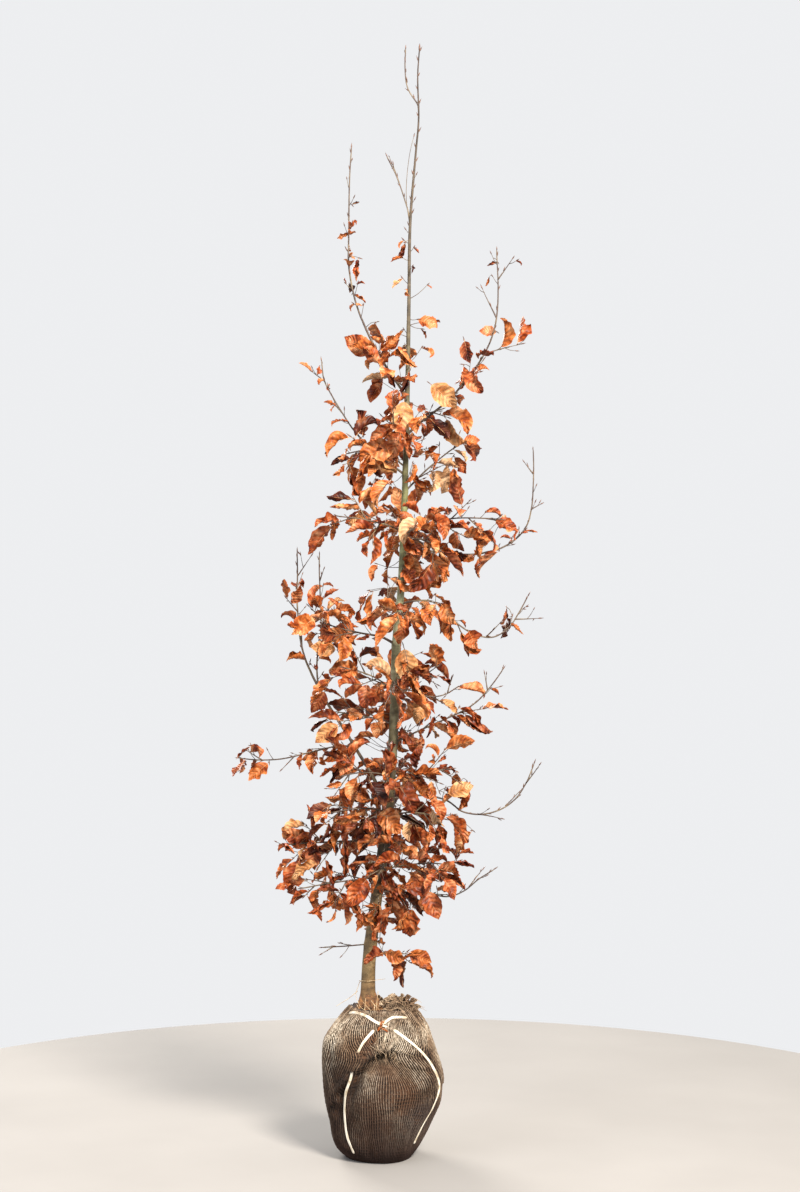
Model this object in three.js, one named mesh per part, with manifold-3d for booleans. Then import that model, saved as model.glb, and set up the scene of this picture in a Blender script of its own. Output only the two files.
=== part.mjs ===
// A young copper beech lifted for planting: one trunk, its boughs, the sprays of dry winter leaves,
// and the root ball wrapped in hessian and tied with flat twine.
// Millimetres, +Z up. The origin is the middle of the ball's flat underside. +X is the side that the
// trunk leans to, and a bearing is counted from +X towards +Y.
import * as THREE from "three";
import { mergeVertices } from "three/addons/utils/BufferGeometryUtils.js";
import Module from "manifold-3d";

const wasm = await Module();
wasm.setup();

// ---- Driving dimensions -------------------------------------------------------------------------

const GAP = 0.3; // clearance between two solids that touch on the plant

const TRUNK = {
  foot: 322, // the flat cut at soil level, inside the neck of the hessian
  tip: 2502,
  tipRadius: 1.4,
  buttRadius: 15.6,
  taperPower: 1.25,
  flareRadius: 9, // added at the foot, where the roots spread
  flareFade: 20,
  sides: 10,
  rings: 22,
};

// The trunk's middle line, as [height, to the right, to the back]: it leans, then straightens.
const TRUNK_LINE = [
  [322, -36, 0],
  [430, -33, 0],
  [517, -24, 2],
  [620, -10, 4],
  [731, 6, 3],
  [860, 17, -1],
  [1024, 26, -3],
  [1160, 29, 0],
  [1270, 39, 3],
  [1474, 47, 2],
  [1699, 53, -2],
  [1924, 57, -2],
  [2099, 60, 1],
  [2260, 73, 2],
  [2330, 79, 1],
  [2430, 77, -1],
  [2502, 82, 0],
];

// The ball's outline, as [height, reach to the right, to the left, to front and back].
const BALL_OUTLINE = [
  [0, 60, 82, 74],
  [12, 68, 95, 86],
  [88, 106, 118, 112],
  [135, 127, 127, 121],
  [180, 132, 131, 125],
  [225, 123, 132, 124],
  [262, 108, 127, 116],
  [292, 95, 107, 100],
  [320, 74, 84, 80],
  [340, 52, 66, 58],
  [358, 24, 54, 36],
];
const BALL_SIDES = 20;
// The hessian is drawn in at one place on the front: [bearing, height], and how far and how deep.
const BALL_PINCH = { bearing: 268, height: 246, spread: 26, length: 62, depth: 15 };
const BALL_LOBES = { count: 5, depth: 3 };
// The gathered ends of the cloth beside the trunk: [right, back, height, radius].
const CLOTH_BUNCH = [
  [14, -14, 340, 19],
  [34, -6, 335, 20],
  [55, -12, 328, 15],
  [22, 18, 334, 20],
  [-8, 26, 338, 18],
];

const TWINE = { width: 6.4, thickness: 2.2, step: 30, sunk: 0.7 };
// Each strand runs on the ball's face through [bearing, height].
const TWINE_ROUTES = {
  twine_shoulder: [[198, 323], [214, 328], [242, 326], [267, 311], [286, 323], [312, 321]],
  twine_left: [[258, 299], [249, 273], [243, 238], [238, 197], [230, 158], [226, 110], [227, 60], [232, 22]],
  twine_right: [[285, 300], [301, 278], [313, 256], [325, 218], [335, 167], [331, 125], [327, 84], [323, 40]],
  twine_back: [[20, 300], [40, 262], [62, 205], [78, 140], [84, 80], [88, 26]],
};

// Angles of leaves and twigs are in radians, and a pair is the range that each one is drawn from.
const LEAF = {
  length: 90,
  sizes: [0.62, 1.08], // of that length
  width: 0.6, // of its length
  widest: 0.84, // under 1, the blade is widest nearer the stalk than the tip
  fullness: 0.75, // under 1, its oval is rounder
  thickness: 1.5,
  stations: [0.27, 0.68], // where its solid has a section
  stalk: 0.09, // of its length
  stalkRadius: 0.8,
  stand: [0.5, 1.1], // off its twig
  stray: 0.3,
  roll: [-1, 1],
  fold: [0.1, 0.85], // of each half, up from the middle rib
  curl: [-0.3, 1.1],
  twist: [-0.7, 0.7],
  last: 0.97, // where the end leaf of a twig sits
  ballRows: [0.2, 0.38, 0.56, 0.74, 0.92], // the balls that keep its space, along it
  ballColumns: [-0.62, 0, 0.62], // and across it
  ball: 0.125, // their radius, of its length
};

const TWIG = {
  radius: 1.6,
  tipRadius: 0.5,
  swell: 0.14, // where it is widest; its foot is inside the stem
  first: 0.05, // the stretch of the stem that bears twigs
  last: 0.92,
  leafless: 0.3, // of its length, at its foot
  closeness: 0.8, // its leaves sit this much closer than those on the stem
  stand: [0.55, 0.95], // off the stem
  stray: 0.38,
  retry: 0.87, // turn about the stem from one try to the next
  reaches: [0.75, 1.15], // of the spray's spread
  shorter: 0.35, // those at the spray's tip, against those at its foot
};
const BOUGH = { sides: 6, stemSides: 3, step: 42, tipRadius: 1.4, taper: 0.8 };
const OWN_SHARE = 0.9; // how close two leaves of one spray may come, against leaves of two sprays
const CROWN_SEED = 5; // sets every turn and size that the rule leaves open
const TRIES = 9; // turns that a leaf or a twig is given before it is skipped

// Every limb: at is the height where it leaves the trunk, or the share of its parent's length; bearing
// and rise are its directions in degrees at even steps along it; reach is its length, girth its radius
// at the foot, and enter the share of it that is a bare bough before the spray of leaves begins.
// twigs and spread set the side twigs' number and length, turn the degrees about the stem from one to
// the next, pitch the way from leaf to leaf, bare the leafless stretches, droop how the leaves hang
// and size how large they are.
const TYPICAL = {
  on: "trunk",
  girth: 2,
  enter: 0,
  twigs: 3,
  spread: 60,
  turn: 137.5,
  pitch: 24,
  droop: 0.25,
  size: 1,
  bare: [],
};
const LIMBS = {
  leader_high: {
    at: 2362, bearing: [185], rise: [45, 82, 96], reach: 133, girth: 1.5, twigs: 0, bare: [[0, 1]],
  },
  leader_low: {
    at: 2104, bearing: [178], rise: [78, 70, 62], reach: 152, girth: 1.5, twigs: 1, spread: 140,
    bare: [[0, 1]],
  },
  left_shoot: {
    at: 1705, bearing: [186, 180], rise: [52, 60, 72, 90, 91, 94], reach: 590, girth: 3, enter: 0.34,
    twigs: 1, spread: 44, pitch: 42, size: 0.5, bare: [[0.7, 1]],
  },
  left_shoot_foot: { at: 1722, bearing: [215, 186], rise: [30, 52], reach: 100, twigs: 3, spread: 56 },
  right_branch: {
    at: 1620, bearing: [-14, 0], rise: [41, 35, 50, 57, 80, 92, 92], reach: 490, girth: 3, enter: 0.2,
    twigs: 4, spread: 94, pitch: 38, bare: [[0.6, 1]],
  },
  left_mid: {
    at: 1530, bearing: [172, 178], rise: [36, 36, 50, 58, 62, 92], reach: 332, girth: 2.6, enter: 0.44,
    twigs: 2, spread: 48, pitch: 46, size: 0.45,
  },
  upper_left: { at: 1548, bearing: [215, 184], rise: [34, 24, 0, -20], reach: 150, twigs: 4, spread: 68 },
  upper_right: { at: 1640, bearing: [-25], rise: [34, 10], reach: 92, twigs: 2, spread: 56, size: 1.1 },
  upper_right_twig: {
    at: 1492, bearing: [8, 0], rise: [46, 42, 28], reach: 182, girth: 2.2, twigs: 3, spread: 56,
    droop: 0.9,
  },
  upper_back: { at: 1560, bearing: [80, 100], rise: [45, 30, 20], reach: 160, twigs: 3, spread: 72 },
  upper_front: { at: 1588, bearing: [250], rise: [56, 30, -10], reach: 120, twigs: 3, spread: 62 },
  middle_left: { at: 1400, bearing: [236, 182], rise: [20, 10, 6], reach: 172, twigs: 4, spread: 74 },
  middle_right: { at: 1396, bearing: [-30, 0], rise: [26, 14, 0, -6], reach: 232, twigs: 5, spread: 86 },
  right_low_long: {
    at: 1366, bearing: [12, 4], rise: [-8, -6, -4, 16, 42, 84, 88, 93], reach: 482, girth: 2.8,
    enter: 0.42, twigs: 3, spread: 44, pitch: 60, size: 0.45, bare: [[0.6, 1]],
  },
  middle_front: {
    at: 1372, bearing: [290, 325], rise: [25, -5, -40], reach: 150, twigs: 4, spread: 64, droop: 0.8,
  },
  middle_back: { at: 1395, bearing: [95, 80], rise: [20, 10, 0], reach: 175, twigs: 4, spread: 78 },
  waist_right: {
    at: 1240, bearing: [-22, 0], rise: [14, 4, -42, -42, -20, 30, 61, 62], reach: 364, girth: 2.2,
    twigs: 4, spread: 68, droop: 0.8, bare: [[0.5, 0.74], [0.92, 1]],
  },
  waist_left: {
    at: 1148, bearing: [200, 180], rise: [36, 10, 12, 20], reach: 172, girth: 3, enter: 0.32, twigs: 5,
    spread: 82,
  },
  waist_front: {
    at: 1204, bearing: [282, 262], rise: [34, 4, -34], reach: 112, twigs: 3, spread: 62, droop: 0.5,
  },
  waist_back: { at: 1190, bearing: [85, 100], rise: [35, 20, 10], reach: 180, twigs: 4, spread: 74 },
  lower_left_high: { at: 1036, bearing: [232, 186], rise: [40, 25, 10], reach: 150, twigs: 4, spread: 68 },
  lower_right_high: { at: 1078, bearing: [-50, -25], rise: [25, 0, -25], reach: 110, twigs: 3, spread: 64 },
  lower_right_twig: {
    at: 1050, bearing: [10, 0], rise: [0, -25, 10, 40], reach: 150, girth: 1.7, twigs: 3, spread: 54,
    droop: 0.6,
  },
  lower_front: {
    at: 1046, bearing: [268], rise: [40, 0, -40], reach: 115, twigs: 4, spread: 64, droop: 0.6,
  },
  lower_left: { at: 968, bearing: [180, 186], rise: [20, 12, 6], reach: 135, twigs: 4, spread: 74 },
  right_twig: {
    at: 925, bearing: [-8, 0], rise: [28, 26, 22, 30, 50, 58], reach: 305, girth: 2.2, twigs: 3,
    spread: 68, droop: 0.7, bare: [[0.62, 1]], size: 0.9,
  },
  lower_back: { at: 1010, bearing: [95, 85], rise: [25, 12, 0], reach: 180, twigs: 4, spread: 78 },
  left_long: {
    at: 784, bearing: [172, 180], rise: [62, 60, 57, 58, 66, 84, 90, 90], reach: 624, girth: 4.6,
    enter: 0.56, twigs: 3, spread: 70, pitch: 32, size: 0.75, bare: [[0.9, 1]],
  },
  left_fork: {
    on: "left_long", at: 0.5, bearing: [160, 10, 190, 180], rise: [84, 80, 88, 90], reach: 300,
    girth: 2.2, twigs: 3, spread: 64, pitch: 36, size: 0.8, bare: [[0.75, 1]],
  },
  left_twig: {
    on: "left_long", at: 0.25, bearing: [190, 180], rise: [8, -12, -14, -10, 0, 10], reach: 262,
    girth: 1.9, twigs: 3, spread: 56, pitch: 30, droop: 0.9, size: 0.85, bare: [[0.42, 0.8]],
  },
  low_left: { at: 852, bearing: [238, 188], rise: [16, 4, -15], reach: 140, twigs: 4, spread: 72 },
  low_right: { at: 846, bearing: [-48, -8], rise: [16, 10, 6], reach: 158, twigs: 4, spread: 74 },
  right_long: {
    at: 800, bearing: [12, 0], rise: [8, 6, -8, -38, -10, 17, 40, 64, 72], reach: 398, girth: 2.4,
    enter: 0.4, twigs: 3, spread: 86, turn: 180, bare: [[0, 1]],
  },
  low_front: {
    at: 838, bearing: [258, 282], rise: [26, 2, -30], reach: 120, twigs: 3, spread: 66, droop: 0.4,
  },
  low_back: { at: 850, bearing: [85, 95], rise: [15, 5, -5], reach: 175, twigs: 4, spread: 78 },
  foot_left_high: { at: 768, bearing: [240, 182], rise: [20, 4, -16], reach: 155, twigs: 4, spread: 70 },
  foot_left: {
    at: 712, bearing: [192, 186], rise: [-6, 0, -6], reach: 232, girth: 3, enter: 0.22, twigs: 5,
    spread: 82,
  },
  foot_right_high: {
    at: 756, bearing: [-58, -6], rise: [24, 4, -20], reach: 156, twigs: 5, spread: 74, droop: 0.8,
  },
  foot_back: { at: 700, bearing: [100, 88], rise: [15, 5, -10], reach: 180, twigs: 4, spread: 78 },
  foot_right: { at: 640, bearing: [-30, -4], rise: [16, 8, -10], reach: 172, twigs: 5, spread: 80 },
  foot_left_low: {
    at: 622, bearing: [215, 184], rise: [4, -6, -10], reach: 185, twigs: 4, spread: 72, size: 0.9,
  },
  foot_right_twig: {
    at: 590, bearing: [8, 0], rise: [6, -6, -8, 40, 30], reach: 282, girth: 1.9, twigs: 2, spread: 78,
    turn: 180, bare: [[0, 1]],
  },
  foot_front: {
    at: 640, bearing: [285, 250], rise: [30, 0, -30], reach: 120, twigs: 4, spread: 70, droop: 0.5,
  },
  lowest_left_twig: {
    at: 474, bearing: [180], rise: [-4], reach: 108, girth: 1.5, twigs: 2, spread: 44, bare: [[0, 1]],
  },
  lowest_right: { at: 452, bearing: [-42, -15], rise: [12, 8, -10], reach: 92, twigs: 2, spread: 52 },
};

// ---- Colours ------------------------------------------------------------------------------------

const FINISH = {
  bark: { color: 0x85775a, roughness: 0.78, metalness: 0 },
  leaf: { color: 0xb05c2c, roughness: 0.7, metalness: 0 },
  hessian: { color: 0x8b755d, roughness: 0.95, metalness: 0 },
  twine: { color: 0xeadfc9, roughness: 0.8, metalness: 0 },
};

// ---- Small tools --------------------------------------------------------------------------------

const RADIANS = Math.PI / 180;

// The value at a share of the way through an evenly spaced list.
function between(values, along) {
  const place = Math.min(Math.max(along, 0), 1) * (values.length - 1);
  const low = Math.min(Math.floor(place), values.length - 1);
  const high = Math.min(low + 1, values.length - 1);
  return values[low] + (values[high] - values[low]) * (place - low);
}

// A row of a table whose first column rises, worked out at any value of that column.
function rowAt(table, key) {
  const next = Math.max(1, table.findIndex((row) => row[0] >= key));
  const last = next < 1 || key > table[table.length - 1][0] ? table.length - 1 : next;
  const [low, high] = [table[last - 1], table[last]];
  const share = (key - low[0]) / (high[0] - low[0]);
  return low.map((value, i) => value + (high[i] - value) * share);
}

// Numbers that look random and are the same each time: a linear congruential sequence.
function seeded(seed) {
  let state = seed * 7919 + 12345;
  return (low, high) => {
    state = (state * 1664525 + 1013904223) % 4294967296;
    return low + ((high - low) * state) / 4294967296;
  };
}

function heading(bearing, rise) {
  const flat = Math.cos(rise * RADIANS);
  return new THREE.Vector3(
    flat * Math.cos(bearing * RADIANS),
    flat * Math.sin(bearing * RADIANS),
    Math.sin(rise * RADIANS),
  );
}

// A unit vector at right angles to a direction, as near to the wanted one as can be.
function across(direction, wanted) {
  const side = wanted.clone().addScaledVector(direction, -wanted.dot(direction));
  if (side.lengthSq() < 1e-6) side.set(direction.z, direction.x, direction.y).cross(direction);
  return side.normalize();
}

function pointOn(line, along) {
  const place = Math.min(Math.max(along, 0), 1) * (line.length - 1);
  const low = Math.min(Math.floor(place), line.length - 2);
  return line[low].clone().lerp(line[low + 1], place - low);
}

function directionOn(line, along) {
  const ahead = pointOn(line, Math.min(along + 0.04, 1));
  return ahead.sub(pointOn(line, Math.max(along - 0.04, 0))).normalize();
}

// ---- Solids -------------------------------------------------------------------------------------

function solidOf(vertProperties, triVerts) {
  const mesh = new wasm.Mesh({
    numProp: 3,
    vertProperties: new Float32Array(vertProperties),
    triVerts: new Uint32Array(triVerts),
  });
  return new wasm.Manifold(mesh);
}

// A closed solid through rings of points that run anticlockwise about the way ahead. A ring of one
// point closes its end to a tip; a wider ring at an end is closed flat. Four points between two rings
// are split into two faces the same way each time, or every other time the other way where alternate
// is true: the two skins of a thin blade are then split alike, and don't cross where it is twisted.
function loft(rings, alternate = false) {
  const starts = [];
  const places = [];
  for (const ring of rings) {
    starts.push(places.length / 3);
    for (const point of ring) places.push(point.x, point.y, point.z);
  }
  const faces = [];
  for (let i = 1; i < rings.length; i += 1) {
    const [a, b] = [starts[i - 1], starts[i]];
    const [countA, countB] = [rings[i - 1].length, rings[i].length];
    for (let k = 0; k < Math.max(countA, countB); k += 1) {
      const [fromA, toA] = [a + (k % countA), a + ((k + 1) % countA)];
      const [fromB, toB] = [b + (k % countB), b + ((k + 1) % countB)];
      const other = alternate && k % 2 === 1;
      if (countA > 1) faces.push(fromA, toA, other ? fromB : toB);
      if (countB > 1) faces.push(other ? toA : fromA, toB, fromB);
    }
  }
  const last = rings.length - 1;
  for (let k = 1; k < rings[0].length - 1; k += 1) faces.push(starts[0], starts[0] + k + 1, starts[0] + k);
  for (let k = 1; k < rings[last].length - 1; k += 1) {
    faces.push(starts[last], starts[last] + k, starts[last] + k + 1);
  }
  return solidOf(places, faces);
}

// A tapering limb along a line, with a radius for each share of the way.
function limbSolid(line, radiusAt, sides) {
  const rings = line.map((point, i) => {
    const along = i / (line.length - 1);
    const ahead = directionOn(line, along);
    const up = across(ahead, new THREE.Vector3(0.3, -1, 0.1));
    const side = ahead.clone().cross(up);
    return Array.from({ length: sides }, (_, k) => {
      const angle = (k / sides) * 2 * Math.PI;
      const radius = radiusAt(along);
      return point
        .clone()
        .addScaledVector(up, radius * Math.cos(angle))
        .addScaledVector(side, radius * Math.sin(angle));
    });
  });
  return loft(rings);
}

// The largest part of a solid: loose scraps and sealed hollows are dropped.
function wholeOf(solid) {
  const parts = solid.simplify(0.02).decompose();
  return parts.reduce((best, part) => (part.volume() > best.volume() ? part : best));
}

const group = new THREE.Group();

function addNode(name, solid, finish) {
  const { vertProperties, triVerts } = solid.getMesh();
  const geometry = new THREE.BufferGeometry();
  geometry.setAttribute("position", new THREE.BufferAttribute(vertProperties, 3));
  geometry.setIndex(new THREE.BufferAttribute(triVerts, 1));
  const mesh = new THREE.Mesh(geometry, new THREE.MeshStandardMaterial(finish));
  mesh.name = name;
  group.add(mesh);
}

// ---- Space --------------------------------------------------------------------------------------

// Balls along every limb, twig and leaf, kept in cells, so that each spray keeps to its own space.
const CELL = 24;
const WIDEST_BALL = 12;
const claimed = new Map();

function cellKey(x, y, z) {
  return `${Math.floor(x / CELL)},${Math.floor(y / CELL)},${Math.floor(z / CELL)}`;
}

function claim(balls, owner) {
  for (const { center, radius } of balls) {
    const reach = radius + WIDEST_BALL;
    const [lowX, lowY, lowZ] = [center.x, center.y, center.z].map((v) => Math.floor((v - reach) / CELL));
    const [highX, highY, highZ] = [center.x, center.y, center.z].map((v) => Math.floor((v + reach) / CELL));
    for (let x = lowX; x <= highX; x += 1) {
      for (let y = lowY; y <= highY; y += 1) {
        for (let z = lowZ; z <= highZ; z += 1) {
          const key = `${x},${y},${z}`;
          if (!claimed.has(key)) claimed.set(key, []);
          claimed.get(key).push({ center, radius, owner });
        }
      }
    }
  }
}

// True where no ball comes too near to one that is kept. A twig may touch what its own spray holds.
function isFree(balls, owner, ownShare) {
  return balls.every(({ center, radius }) => {
    const near = claimed.get(cellKey(center.x, center.y, center.z)) ?? [];
    return near.every((kept) => {
      const share = kept.owner === owner ? ownShare : 1;
      return kept.center.distanceTo(center) >= share * (kept.radius + radius);
    });
  });
}

function ballsAlong(line, radiusAt, from, spacing) {
  const length = line.reduce((sum, point, i) => sum + (i ? point.distanceTo(line[i - 1]) : 0), 0);
  const count = Math.ceil(length / spacing);
  const balls = [];
  for (let i = 0; i <= count; i += 1) {
    const along = i / count;
    if (along < from) continue;
    balls.push({ center: pointOn(line, along), radius: radiusAt(along) + GAP });
  }
  return balls;
}

// ---- Trunk --------------------------------------------------------------------------------------

function trunkRadius(height) {
  const share = Math.min(Math.max((TRUNK.tip - height) / (TRUNK.tip - TRUNK.foot), 0), 1);
  const flare = TRUNK.flareRadius * Math.exp((TRUNK.foot - height) / TRUNK.flareFade);
  return TRUNK.tipRadius + (TRUNK.buttRadius - TRUNK.tipRadius) * share ** TRUNK.taperPower + flare;
}

const trunkCurve = new THREE.CatmullRomCurve3(
  TRUNK_LINE.map(([height, right, back]) => new THREE.Vector3(right, back, height)),
);
const trunkLine = trunkCurve.getPoints(4 * (TRUNK_LINE.length - 1));

function trunkPoint(height) {
  const above = Math.max(1, trunkLine.findIndex((point) => point.z >= height));
  const [low, high] = [trunkLine[above - 1], trunkLine[above]];
  return low.clone().lerp(high, (height - low.z) / (high.z - low.z));
}

// The trunk, or the same shape grown by an offset to cut what grows from it.
function trunkSolid(offset) {
  const rings = [];
  for (let i = 0; i <= TRUNK.rings; i += 1) {
    // The rings lie closer together at the flare.
    const height = TRUNK.foot + (TRUNK.tip - TRUNK.foot) * (i / TRUNK.rings) ** 1.35;
    const middle = trunkPoint(height);
    const radius = trunkRadius(height) + offset;
    const drop = i === 0 ? -offset : i === TRUNK.rings ? offset : 0;
    rings.push(
      Array.from({ length: TRUNK.sides }, (_, k) => {
        const angle = (k / TRUNK.sides) * 2 * Math.PI;
        const ridge = 1 + 0.05 * Math.cos(3 * angle + height / 260);
        const reach = radius * (offset > 0 ? Math.max(ridge, 1) : Math.min(ridge, 1));
        return new THREE.Vector3(
          middle.x + reach * Math.cos(angle),
          middle.y + reach * Math.sin(angle),
          height + drop,
        );
      }),
    );
  }
  return loft(rings);
}

// ---- Root ball and twine ------------------------------------------------------------------------

// A point on the hessian at a bearing and a height, moved out by an offset.
function ballPoint(bearing, height, offset) {
  const [, right, left, depth] = rowAt(BALL_OUTLINE, height);
  const [toRight, toBack] = [Math.cos(bearing * RADIANS), Math.sin(bearing * RADIANS)];
  const turn = ((bearing - BALL_PINCH.bearing + 540) % 360) - 180;
  const aside = (turn * RADIANS * depth) / BALL_PINCH.spread;
  const fall = height > BALL_PINCH.height ? BALL_PINCH.length : BALL_PINCH.spread;
  const above = (height - BALL_PINCH.height) / fall;
  const pinch = BALL_PINCH.depth * Math.exp(-aside * aside - above * above);
  const fade = Math.min(height / 60, 1);
  const lobes = BALL_LOBES.depth * fade * Math.cos(BALL_LOBES.count * bearing * RADIANS + height / 70);
  const grow = offset + lobes - pinch;
  return new THREE.Vector3(
    toRight * ((toRight > 0 ? right : left) + grow),
    toBack * (depth + grow),
    height,
  );
}

function ballBody() {
  const rings = BALL_OUTLINE.map(([height]) =>
    Array.from({ length: BALL_SIDES }, (_, k) => ballPoint((k / BALL_SIDES) * 360, height, 0)),
  );
  let body = loft(rings);
  for (const [right, back, height, radius] of CLOTH_BUNCH) {
    const lobe = new THREE.IcosahedronGeometry(radius, 1).deleteAttribute("normal").deleteAttribute("uv");
    const closed = mergeVertices(lobe.translate(right, back, height), 1e-4);
    body = body.add(solidOf(closed.attributes.position.array, closed.index.array));
  }
  return body;
}

// A flat strand laid on the hessian, or the same strand grown by an offset to press its groove.
function twineSolid(route, offset) {
  const lift = TWINE.thickness / 2 - TWINE.sunk;
  const knots = route.map(([bearing, height]) => ballPoint(bearing, height, lift));
  const curve = new THREE.CatmullRomCurve3(knots);
  const count = Math.round(curve.getLength() / TWINE.step);
  const line = curve.getSpacedPoints(count);
  const halfWidth = TWINE.width / 2 + offset;
  const halfThick = TWINE.thickness / 2 + offset;
  const rings = line.map((point, i) => {
    const ahead = directionOn(line, i / count);
    const out = across(ahead, new THREE.Vector3(point.x, point.y, (point.z - BALL_PINCH.height) * 0.6));
    const side = ahead.clone().cross(out);
    const end = i === 0 ? -offset : i === count ? offset : 0;
    return [[1, 1], [-1, 1], [-1, -1], [1, -1]].map(([upward, sideways]) =>
      point
        .clone()
        .addScaledVector(ahead, end)
        .addScaledVector(out, upward * halfThick)
        .addScaledVector(side, sideways * halfWidth),
    );
  });
  return loft(rings);
}

// ---- Limbs and sprays ---------------------------------------------------------------------------

// A line from a point, whose bearing and rise change evenly through their lists.
function walk(start, bearings, rises, reach, step) {
  const count = Math.max(2, Math.round(reach / step));
  const line = [start.clone()];
  for (let i = 0; i < count; i += 1) {
    const along = (i + 0.5) / count;
    const ahead = heading(between(bearings, along), between(rises, along));
    line.push(line[i].clone().addScaledVector(ahead, reach / count));
  }
  return line;
}

// The part of a line between two shares of its length.
function stretch(line, from, to) {
  const inner = line.filter((_, i) => {
    const along = i / (line.length - 1);
    return along > from + 0.01 && along < to - 0.01;
  });
  return [pointOn(line, from), ...inner, pointOn(line, to)];
}

const limbs = new Map();

function laidOutLimb(name) {
  if (limbs.has(name)) return limbs.get(name);
  const limb = { name, ...TYPICAL, ...LIMBS[name], seed: CROWN_SEED + Object.keys(LIMBS).indexOf(name) };
  const parent = limb.on === "trunk" ? null : laidOutLimb(limb.on);
  const start = parent ? pointOn(parent.line, limb.at) : trunkPoint(limb.at);
  limb.line = walk(start, limb.bearing, limb.rise, limb.reach, BOUGH.step);
  limb.radiusAt = (along) => limb.girth + (BOUGH.tipRadius - limb.girth) * Math.min(along, 1) ** BOUGH.taper;
  // What hides inside the parent doesn't count: the first share that stands clear of it.
  const parentRadius = parent ? parent.radiusAt(limb.at) : trunkRadius(limb.at);
  limb.clear = (parentRadius + GAP + 1) / limb.reach;
  limbs.set(name, limb);
  return limb;
}

// Where a leaf's middle rib runs from its stalk on, and how its blade lies there.
function leafStations(leaf, shares) {
  return shares.map((share) => {
    const bend = leaf.curl * share;
    const center = leaf.root.clone();
    const parts = 4;
    for (let i = 0; i < parts; i += 1) {
      const angle = bend * ((i + 0.5) / parts);
      center.addScaledVector(leaf.ahead, (Math.cos(angle) * leaf.size * share) / parts);
      center.addScaledVector(leaf.up, (-Math.sin(angle) * leaf.size * share) / parts);
    }
    const ahead = leaf.ahead.clone().multiplyScalar(Math.cos(bend)).addScaledVector(leaf.up, -Math.sin(bend));
    const flatUp = leaf.up.clone().multiplyScalar(Math.cos(bend)).addScaledVector(leaf.ahead, Math.sin(bend));
    const flatSide = ahead.clone().cross(flatUp);
    const turn = leaf.twist * share;
    const up = flatUp.clone().multiplyScalar(Math.cos(turn)).addScaledVector(flatSide, Math.sin(turn));
    return { center, up, side: ahead.clone().cross(up) };
  });
}

// Half the blade's width: a thin stalk, then an oval that is widest before its middle.
function leafHalfWidth(leaf, share) {
  const blade = (share - LEAF.stalk) / (1 - LEAF.stalk);
  if (blade <= 0) return LEAF.stalkRadius;
  const oval = Math.sin(Math.PI * blade ** LEAF.widest) ** LEAF.fullness;
  return LEAF.stalkRadius + leaf.size * LEAF.width * 0.5 * oval;
}

function leafPoint(leaf, station, share, sideways) {
  const reach = leafHalfWidth(leaf, share) * sideways;
  return station.center
    .clone()
    .addScaledVector(station.side, reach * Math.cos(leaf.fold))
    .addScaledVector(station.up, Math.abs(reach) * Math.sin(leaf.fold));
}

function leafSolid(leaf) {
  const stations = leafStations(leaf, LEAF.stations);
  const middle = stations.map(({ center, up }, i) => [
    leafPoint(leaf, stations[i], LEAF.stations[i], 1),
    center.clone().addScaledVector(up, -LEAF.thickness / 2),
    leafPoint(leaf, stations[i], LEAF.stations[i], -1),
    center.clone().addScaledVector(up, LEAF.thickness / 2),
  ]);
  const [tip] = leafStations(leaf, [1]);
  return loft([[leaf.root], ...middle, [tip.center]], true);
}

function leafBalls(leaf) {
  const radius = leaf.size * LEAF.ball;
  const rows = LEAF.ballRows;
  return leafStations(leaf, rows).flatMap((station, i) => {
    const columns = i === rows.length - 1 ? [0] : LEAF.ballColumns;
    return columns.map((sideways) => ({ center: leafPoint(leaf, station, rows[i], sideways), radius }));
  });
}

// One leaf at a bud of a twig: it stands out to a side, droops, and lies at a turn of its own.
function grownLeaf(limb, bud, ahead, outward, draw) {
  for (let turn = 0; turn < TRIES; turn += 1) {
    const stand = draw(...LEAF.stand);
    const [right, back, up] = [0, 1, 2].map(() => draw(-LEAF.stray, LEAF.stray));
    const direction = ahead
      .clone()
      .multiplyScalar(Math.cos(stand))
      .addScaledVector(outward, Math.sin(stand))
      .add(new THREE.Vector3(right, back, up - limb.droop))
      .normalize();
    const level = across(direction, new THREE.Vector3(draw(-0.7, 0.7), draw(-0.9, 0.5), 1));
    const roll = draw(...LEAF.roll);
    const side = direction.clone().cross(level);
    const leaf = {
      root: bud,
      ahead: direction,
      up: level.multiplyScalar(Math.cos(roll)).addScaledVector(side, Math.sin(roll)),
      size: LEAF.length * limb.size * draw(...LEAF.sizes) * (1 - 0.05 * turn),
      fold: draw(...LEAF.fold),
      curl: draw(...LEAF.curl),
      twist: draw(...LEAF.twist),
    };
    const balls = leafBalls(leaf);
    if (isFree(balls, limb.name, OWN_SHARE)) {
      claim(balls, limb.name);
      return leaf;
    }
  }
  return null;
}

// Leaves at the buds of a line, to one side and the other, and one at its end.
function leavesAlong(limb, line, from, pitch, sideways, isBare, draw) {
  const length = line[0].distanceTo(line[line.length - 1]);
  const count = Math.floor(((1 - from) * length) / pitch);
  const leaves = [];
  for (let i = 0; i <= count + 1; i += 1) {
    const atEnd = i > count;
    const along = atEnd ? LEAF.last : from + ((1 - from) * (i + 0.5)) / (count + 1);
    if (isBare(along)) continue;
    const ahead = directionOn(line, along);
    const side = across(ahead, sideways).multiplyScalar(atEnd ? 0.3 : i % 2 ? -1 : 1);
    const leaf = grownLeaf(limb, pointOn(line, along), ahead, side, draw);
    if (leaf) leaves.push(leaf);
  }
  return leaves;
}

function twigRadius(along) {
  return TWIG.radius + (TWIG.tipRadius - TWIG.radius) * Math.max(along - TWIG.swell, 0);
}

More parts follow.
